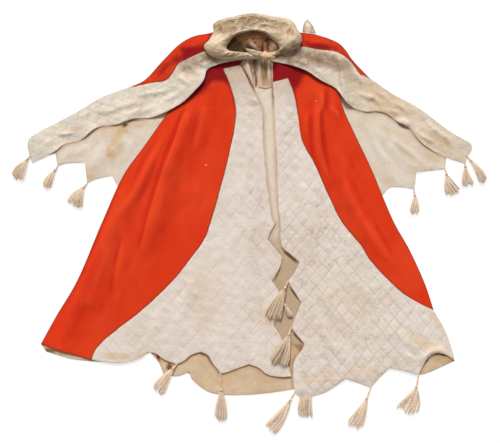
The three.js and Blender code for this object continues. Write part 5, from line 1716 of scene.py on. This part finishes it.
def make_neck_folds():
    """Soft folds of the back's lining that lie in the open neck."""
    outline = closed_outline(CUT_STEP, (1, NECK_FOLDS))
    bm = cut_cloth(outline, (NECK_FOLDS_CELL, NECK_FOLDS_CELL))
    mesh = mesh_from(bm, "neck_folds")
    points = vertices_of(mesh)[:, :2]
    edge = nearest_on(points, outline, closed=True)[0]
    folds = crease_height(NECK_CREASES, points) + 0.7 * ripple(points, 61, 18, 1.6, 0.4)
    height = NECK_FOLDS_Z + NECK_FOLDS_LIFT + np.maximum(folds + 0.6, 0) * ease(edge / 8)
    set_vertices(mesh, np.column_stack([points, height]) * MM + SHIFT)
    give_shade(mesh, hollows(mesh, height, 16), edge)
    piece = new_object("neck_folds", mesh)
    give_wall(piece, PLAIN_WALL)
    dress(piece, None, neck_cloth())
    flat, area = flat_size(outline)
    return piece


def wrapped(share, radius):
    """Turns a grid's x into an angle round a tube."""
    angle = share * 2 * math.pi
    return np.cos(angle) * radius, np.sin(angle) * radius


def drawn_in(share, tip=0.02):
    """1 along a tube, and the share of its girth that is left at its two ends, before they are closed."""
    return np.where((share > 0.999) | (share < 0.001), tip, 1)


def close_tube(mesh):
    """Joins a rolled-up grid's two sides and closes ends that were drawn to a point."""
    bm = bmesh.new()
    bm.from_mesh(mesh)
    bmesh.ops.remove_doubles(bm, verts=bm.verts, dist=1e-6)
    bmesh.ops.dissolve_degenerate(bm, edges=bm.edges, dist=1e-7)
    bmesh.ops.recalc_face_normals(bm, faces=bm.faces)
    bm.to_mesh(mesh)
    bm.free()


def soft_roll(points, width, thick, seed, cells=(32, 60)):
    """A soft folded strip along points, each x, y, z, width share and thickness share, with closed ends."""
    mesh, share = grid_mesh("roll", *cells)
    curve = curve_through([row[:3] for row in points])
    sizes_at = curve_through([(i * 10, row[3], row[4]) for i, row in enumerate(points)])
    rows = np.linspace(0, 1, cells[1] + 1)
    row = np.rint(share[:, 1] * cells[1]).astype(int)
    line = np.array([curve(s) for s in rows])
    ahead = np.gradient(line, axis=0)
    ahead = ahead / np.linalg.norm(ahead, axis=1)[:, None]
    aside = np.stack([-ahead[:, 1], ahead[:, 0], np.zeros(len(ahead))], 1)
    shares = np.array([sizes_at(s)[1:] for s in rows])[row]
    angle = share[:, 0] * 2 * math.pi
    local = np.column_stack([share[:, 1] * 60, angle * 8])
    folds = 1 + 0.13 * np.sin(angle * 3 + share[:, 1] * 4) + 0.14 * ripple(local, seed, 13, 2.4)
    tip = drawn_in(share[:, 1])
    across = np.cos(angle) * width * shares[:, 0] * folds * tip
    up = np.sin(angle) * thick * shares[:, 1] * folds * tip
    places = line[row] + aside[row] * across[:, None]
    places[:, 2] += up
    return mesh, places


def make_knot():
    """The tie's knot: a strip wound over the two collar ends, with a short bow end."""
    bm = bmesh.new()
    all_places = []
    for points, width, thick, seed, cells in KNOT_ROLLS:
        mesh, places = soft_roll(points, width, thick, seed, cells)
        bm.from_mesh(mesh)
        bpy.data.meshes.remove(mesh)
        all_places.append(places)
    mesh = mesh_from(bm, "neck_tie_knot_cloth")
    places = np.concatenate(all_places)
    places[:, 2] = np.clip(places[:, 2], KNOT_LOWEST, KNOT_HIGHEST)
    set_vertices(mesh, places * MM + SHIFT)
    far_from_edge = np.full(len(places), 20.0)
    give_lay(mesh, far_from_edge, far_from_edge, far_from_edge)
    give_shade(mesh, hollows(mesh, places[:, 2], 6) * 0.6, far_from_edge)
    close_tube(mesh)
    mesh.shade_smooth()
    piece = new_object("neck_tie_knot_cloth", mesh)
    dress(piece, "neck_tie_knot", tie_cloth())
    return piece


def tie_top(points):
    soft = crease_height(TIE_CREASES, points) + 0.7 * ripple(points, 52, 20, 4.0, 1.5)
    return on_cape(points) + FRONT_Z + 1.6 + np.maximum(soft + 0.6, 0)


def point_top(points):
    raised = 7 * np.exp(-((points[:, 0] - 204) / 12) ** 2) * ease((718 - points[:, 1]) / 26)
    return FLOOR_GAP + 1.7 + raised + 0.8 * np.maximum(ripple(points, 54, 14, 3.0, 1.5), -0.3)


# Tassels

def tassel_start(cloth, points):
    if cloth == "cape":
        return cape_height(points) + QUILTED / 2
    if cloth == "front":
        return front_height(points) + QUILTED / 2
    return np.full(len(points), CAPE_LINING_Z + LINING / 2)


def tassel_bed(lies_on, points):
    if lies_on == "border":
        return front_height(points) + QUILTED + PUFF + LAYER_GAP
    if lies_on == "facing":
        return on_cape(points) + FACING_Z + WOOL + LAYER_GAP
    return np.full(len(points), FLOOR_GAP)


# How dark a cord is beside the threads that it holds
CORD_TONE = 1.1
STRAND_SIDES = 4
STRAND_CELLS = 9
CLUMPS = 7


def make_head(cord, laid, start_z, head_bed, head_z):
    """A tassel's head and its twisted cord, turned along one line."""
    head_long, head_across, head_high = TASSEL_HEAD
    shape, share = grid_mesh("head", 14, 64)
    t = share[:, 1]
    s = lerp(-SEWN_IN, cord + head_long + 4, t)
    twist = share[:, 0] * 2 * math.pi
    knots = 0.5 * np.exp(-((s - cord * 0.45) / 3) ** 2)
    cord_radius = CORD_RADIUS * (1 + knots + 0.2 * np.cos(2 * twist - s * 1.5)) * ease((s + SEWN_IN + 1) / 4)
    bulb = np.exp(-((s - cord + 2) / 6) ** 2)
    binding = np.exp(-((s - cord - 8) / 3.2) ** 2) * (1 + 0.18 * np.cos(s * 3.4))
    knobbly = 1 + 0.10 * np.cos(9 * twist + s * 0.4)
    skirt = ease((s - cord - 9) / 6)
    radius = np.maximum(cord_radius * (1 - skirt), bulb * head_across * 0.8 * knobbly)
    radius = np.maximum(radius, binding * head_across * 0.8)
    radius = radius * drawn_in(t, 0.01)
    flat_x, flat_z = np.cos(twist) * radius, np.sin(twist) * radius * 0.75
    line_z = lerp(start_z, head_z, clamp01(s / max(cord, 1)))
    line_z = np.maximum(line_z, lerp(start_z, head_bed + head_high * 0.9, ease((s - 3) / max(cord - 3, 1))))
    return shape, laid(s, flat_x, np.maximum(line_z + flat_z, 0.3))


def make_tassel(row, seed):
    name, x, y, end_x, end_y, cord, half, cloth, lies_on, bend, fray = row
    rng = np.random.default_rng(seed)
    count = sizes().strands if half > NARROW_SKIRT else sizes().strands // 2
    tip = np.array([[x, y]], float)
    foot = np.array([[end_x, end_y]], float)
    length = float(np.linalg.norm(foot - tip))
    ahead = ((foot - tip) / length)[0]
    aside = np.array([-ahead[1], ahead[0]])
    start_z = float(tassel_start(cloth, tip)[0])
    bed = float(tassel_bed(lies_on, foot)[0])
    _, head_across, head_high = TASSEL_HEAD
    head_bed = FLOOR_GAP + ROBE_LINING_Z + LINING if cloth == "front" and lies_on == "floor" else bed
    head_z = max(start_z, head_bed + head_high)

    def laid(s, across, up):
        """Points s mm along the tassel, across mm aside and up mm above the table."""
        curve = bend * np.sin(math.pi * np.clip(s / length, 0, 1)) ** 1.5
        flat = tip + np.outer(s, ahead) + np.outer(across + curve, aside)
        return np.column_stack([flat, up])

    # The skirt's threads hang in a few clumps that end at their own lengths
    thread, share = grid_mesh("thread", STRAND_SIDES, STRAND_CELLS)
    bm = bmesh.new()
    for _ in range(count):
        bm.from_mesh(thread)
    bpy.data.meshes.remove(thread)
    clump_ends = 1 - 0.09 * rng.random(CLUMPS) ** 1.5
    hung = cord > HIDDEN_CORD
    darker = 0.0 if lies_on == "floor" else 0.45
    clump_lift = rng.uniform(-0.5, 0.6, CLUMPS)
    all_places, tones = [], []
    for i in range(count):
        across = rng.uniform(-1, 1)
        across = math.copysign(abs(across) ** 0.9, across)
        clump = min(int((across + 1) / 2 * CLUMPS), CLUMPS - 1)
        middle_of_clump = (clump + 0.5) / CLUMPS * 2 - 1
        gathered = lerp(across, middle_of_clump, 0.22)
        layer = rng.uniform(-1, 1)
        stray = rng.random() < fray * 0.16
        reach = length * clump_ends[clump] * (1 - 0.05 * rng.random())
        reach = reach * (1 - 0.07 * abs(across) ** 3)
        wide = half
        if stray:
            reach = reach * rng.uniform(0.8, 1.04)
            wide = half * rng.uniform(1.1, 1.55)
        t = share[:, 1]
        s = cord + 2 + (reach - cord - 2) * t
        swell = 1 - (1 - t) ** 1.35
        spread = lerp(head_across * 0.6 if hung else half * 0.85, wide, swell)
        spread = spread * (1 - 0.06 * ease((t - 0.8) / 0.2))
        wave = 1.1 * np.sin(t * rng.uniform(3, 7) + rng.uniform(0, 6)) * t
        middle = lerp(across, gathered, t) * spread + wave
        roof = math.sqrt(max(1 - across ** 2, 0.08))
        thick = lerp(head_high * 0.7, 6.0, ease(t * 2)) * (1 - 0.3 * t)
        up = lerp(head_z, bed + 1.4 + thick, ease(t * 1.15)) + layer * roof * thick
        up = up + clump_lift[clump] * 1.6 * t
        radius = sizes().strand_radius * rng.uniform(0.8, 1.15) * (0.6 if stray else 1)
        radius = radius * (1 - 0.25 * t) * drawn_in(t)
        ring_x, ring_z = wrapped(share[:, 0], radius)
        up = np.maximum(up + ring_z, bed + 0.15)
        all_places.append(laid(s, middle + ring_x, up))
        # Threads of the lower layer can come out darker than those on top: painted shade under the upper
        # threads
        tones.append(np.full(len(share), darker + rng.random() * (0.75 if layer > 0 else 1)))

    if hung:
        head, places = make_head(cord, laid, start_z, head_bed, head_z)
        bm.from_mesh(head)
        bpy.data.meshes.remove(head)
        all_places.append(places)
        tones.append(np.full(len(places), CORD_TONE))

    mesh = mesh_from(bm, name + "_threads")
    places = np.concatenate(all_places)
    set_vertices(mesh, places * MM + SHIFT)
    point_attribute(mesh, "strand", "FLOAT", np.concatenate(tones))
    close_tube(mesh)
    mesh.shade_smooth()
    piece = new_object(name + "_threads", mesh)
    dress(piece, name, tassel_wool())
    return piece


# The stage, in metres

FLOOR_HALF = 6
FLOOR_Z = -0.0005
LIGHT_DEGREES = 16
LIGHT_ENERGY = 3.35
LIGHT_WAY = (0.12, -0.98, -0.74)
SKY_STRENGTH = 0.36
CAMERA_Z = 4.0
CAMERA_Y = 0.01225
SENSOR = 36
# What the picture's width takes in at the middle height of the cloth
PICTURE_WIDTH = 1.75
CLOTH_Z = 0.010


def make_stage():
    bm = bmesh.new()
    bmesh.ops.create_grid(bm, x_segments=1, y_segments=1, size=FLOOR_HALF)
    floor = mesh_from(bm, "floor")
    floor_piece = new_object("floor", floor)
    floor_piece.location.z = FLOOR_Z
    f = Finish("pale_floor", Roughness=0.9, Specular_IOR_Level=0.1, Emission_Strength=0.7)
    f.shader.inputs["Emission Color"].default_value = (1, 1, 1, 1)
    f.surface(f.mix(f.noise(3.0), (0.33, 0.33, 0.33, 1), (0.35, 0.35, 0.35, 1)))
    floor.materials.append(f.material)

    # Soft light from beyond the collar and a little from the left, as even as a large window's
    light = bpy.data.lights.new("window", "SUN")
    light.angle = math.radians(LIGHT_DEGREES)
    light.energy = LIGHT_ENERGY
    lamp = bpy.data.objects.new("window", light)
    bpy.context.scene.collection.objects.link(lamp)
    lamp.rotation_euler = Vector(LIGHT_WAY).to_track_quat("-Z", "Y").to_euler()

    world = bpy.data.worlds.new("studio")
    bpy.context.scene.world = world
    world.use_nodes = True
    sky = world.node_tree.nodes["Background"]
    sky.inputs["Color"].default_value = (1, 1, 1, 1)
    sky.inputs["Strength"].default_value = SKY_STRENGTH

    # Straight above, so that a pixel of the 500 by 443 picture is 3.5 mm on the table
    lens = bpy.data.cameras.new("overhead")
    camera = bpy.data.objects.new("overhead", lens)
    bpy.context.scene.collection.objects.link(camera)
    camera.location = (float(SHIFT[0]), CAMERA_Y + float(SHIFT[1]), CAMERA_Z)
    lens.sensor_fit = "HORIZONTAL"
    lens.sensor_width = SENSOR
    lens.lens = SENSOR * (CAMERA_Z - CLOTH_Z) / PICTURE_WIDTH
    lens.clip_end = 50
    bpy.context.scene.camera = camera
    view = bpy.context.scene.view_settings
    view.view_transform = "Standard"
    view.look = "None"


# The operators

class ROBE_OT_lay_linings(Operator):
    """Lays the cape's back, the linings, the back, the facing and the folds in the neck"""

    bl_idname = "robe.lay_linings"
    bl_label = "Lay the back and linings"

    def execute(self, context):
        cell = sizes().back_cell
        lay_cloth("cape_back_wool", "cape_back", "red_wool", red_wool(),
                  lambda p: np.full(len(p), WOOL), cell, PLAIN_WALL, roll=0.0, cover=from_neck)
        lay_cloth("wing_lining_cotton", "cape_lining", "wing_lining", wing_cotton(),
                  wing_lining_top, sizes().lining_cell, LINING_WALL)
        lay_cloth("robe_back_wool", "robe_back", "red_wool", red_wool(),
                  lambda p: on_cape(p) + WOOL, cell, PLAIN_WALL, roll=0.3)
        lay_cloth("back_lining_cotton", "robe_back_lining", "back_lining", back_cotton(),
                  robe_lining_top, cell=6.5, wall=LINING_WALL,
                  cover=outside_fronts)
        lay_cloth("facing_cotton", "front_facing", "facing", facing_cotton(),
                  facing_top, cell=5.0, wall=PLAIN_WALL,
                  cover=outside_fronts)
        make_neck_folds()
        return {"FINISHED"}


class ROBE_OT_lay_fronts(Operator):
    """Lays the red fronts and their quilted borders"""

    bl_idname = "robe.lay_fronts"
    bl_label = "Lay the fronts"

    def execute(self, context):
        for side, grain, puff in (("left", LEFT_GRAIN, LEFT_PUFF), ("right", RIGHT_GRAIN, RIGHT_PUFF)):
            lay_cloth(f"front_{side}_red_wool", f"front_{side}_red", "red_wool", red_wool(),
                      red_front_top, sizes().red_cell, RED_WALL, turn=grain, roll=0.7)
            lay_cloth(f"front_{side}_border_quilted", f"front_{side}_border", "quilted_border",
                      border_satin(), border_front_top, None, QUILTED_WALL,
                      quilt=sizes().puff * puff, roll=0.7)
        return {"FINISHED"}


class ROBE_OT_lay_cape(Operator):
    """Lays the cape's red shoulders and its quilted bands"""

    bl_idname = "robe.lay_cape"
    bl_label = "Lay the cape"

    def execute(self, context):
        for side, lean in (("left", LEAN_LEFT), ("right", LEAN_RIGHT)):
            def top(points, lean=lean):
                return cape_top(points, lean)
            lay_cloth(f"cape_{side}_red_wool", f"cape_{side}_red", "red_wool", red_wool(), top,
                      cell=4.0, wall=RED_WALL, turn=lean, roll=0.9,
                      cover=from_neck)
            lay_cloth(f"cape_{side}_band_quilted", f"cape_{side}_band", "quilted_band", band_satin(), top,
                      None, QUILTED_WALL, turn=lean, quilt=sizes().puff * BAND_PUFF, roll=0.7,
                      cover=from_neck)
        return {"FINISHED"}


class ROBE_OT_roll_collar(Operator):
    """Rolls the quilted collar round the neck, with its loose point behind the shoulder"""

    bl_idname = "robe.roll_collar"
    bl_label = "Roll the collar"

    def execute(self, context):
        make_collar()
        lay_cloth("collar_point_satin", "collar_point", "collar", collar_satin(), point_top,
                  cell=2.5, wall=PLAIN_WALL, cover=from_neck)
        return {"FINISHED"}


class ROBE_OT_tie_neck(Operator):
    """Ties the neck"""

    bl_idname = "robe.tie_neck"
    bl_label = "Tie the neck"

    def execute(self, context):
        make_knot()
        for side in ("left", "right"):
            lay_cloth(f"neck_tie_tail_{side}_cloth", f"neck_tie_tail_{side}", "tie", tie_cloth(),
                      tie_top, cell=2.0, wall=PLAIN_WALL, turn=0.2, roll=0.6,
                      cover=from_neck)
        return {"FINISHED"}


class ROBE_OT_hang_tassels(Operator):
    """Hangs a tassel from each dagged point"""

    bl_idname = "robe.hang_tassels"
    bl_label = "Hang the tassels"

    def execute(self, context):
        for seed, row in enumerate(TASSELS, 100):
            make_tassel(row, seed)
        return {"FINISHED"}


class ROBE_OT_set_stage(Operator):
    """Sets the floor, the lights and the overhead camera"""

    bl_idname = "robe.set_stage"
    bl_label = "Set the stage"

    def execute(self, context):
        make_stage()
        return {"FINISHED"}


class ROBE_PT_panel(Panel):
    """Sizes, colours and steps of the robe"""

    bl_idname = "ROBE_PT_panel"
    bl_label = "Ceremonial robe"
    bl_space_type = "VIEW_3D"
    bl_region_type = "UI"
    bl_category = "Robe"

    def draw(self, context):
        for group in (context.scene.robe_sizes, context.scene.robe_colours):
            box = self.layout.box()
            for key in group.bl_rna.properties.keys():
                if key not in ("rna_type", "name"):
                    box.prop(group, key)
        for step in STEPS:
            self.layout.operator(step.bl_idname)


STEPS = (
    ROBE_OT_lay_linings,
    ROBE_OT_lay_fronts,
    ROBE_OT_lay_cape,
    ROBE_OT_roll_collar,
    ROBE_OT_tie_neck,
    ROBE_OT_hang_tassels,
    ROBE_OT_set_stage,
)
CLASSES = (RobeSizes, RobeColours, *STEPS, ROBE_PT_panel)


def register():
    for each in CLASSES:
        bpy.utils.register_class(each)
    bpy.types.Scene.robe_sizes = PointerProperty(type=RobeSizes)
    bpy.types.Scene.robe_colours = PointerProperty(type=RobeColours)


def unregister():
    del bpy.types.Scene.robe_sizes
    del bpy.types.Scene.robe_colours
    for each in reversed(CLASSES):
        bpy.utils.unregister_class(each)


def main():
    register()
    bpy.ops.robe.lay_linings()
    bpy.ops.robe.lay_fronts()
    bpy.ops.robe.lay_cape()
    bpy.ops.robe.roll_collar()
    bpy.ops.robe.tie_neck()
    bpy.ops.robe.hang_tassels()
    bpy.ops.robe.set_stage()


if __name__ == "__main__":
    main()
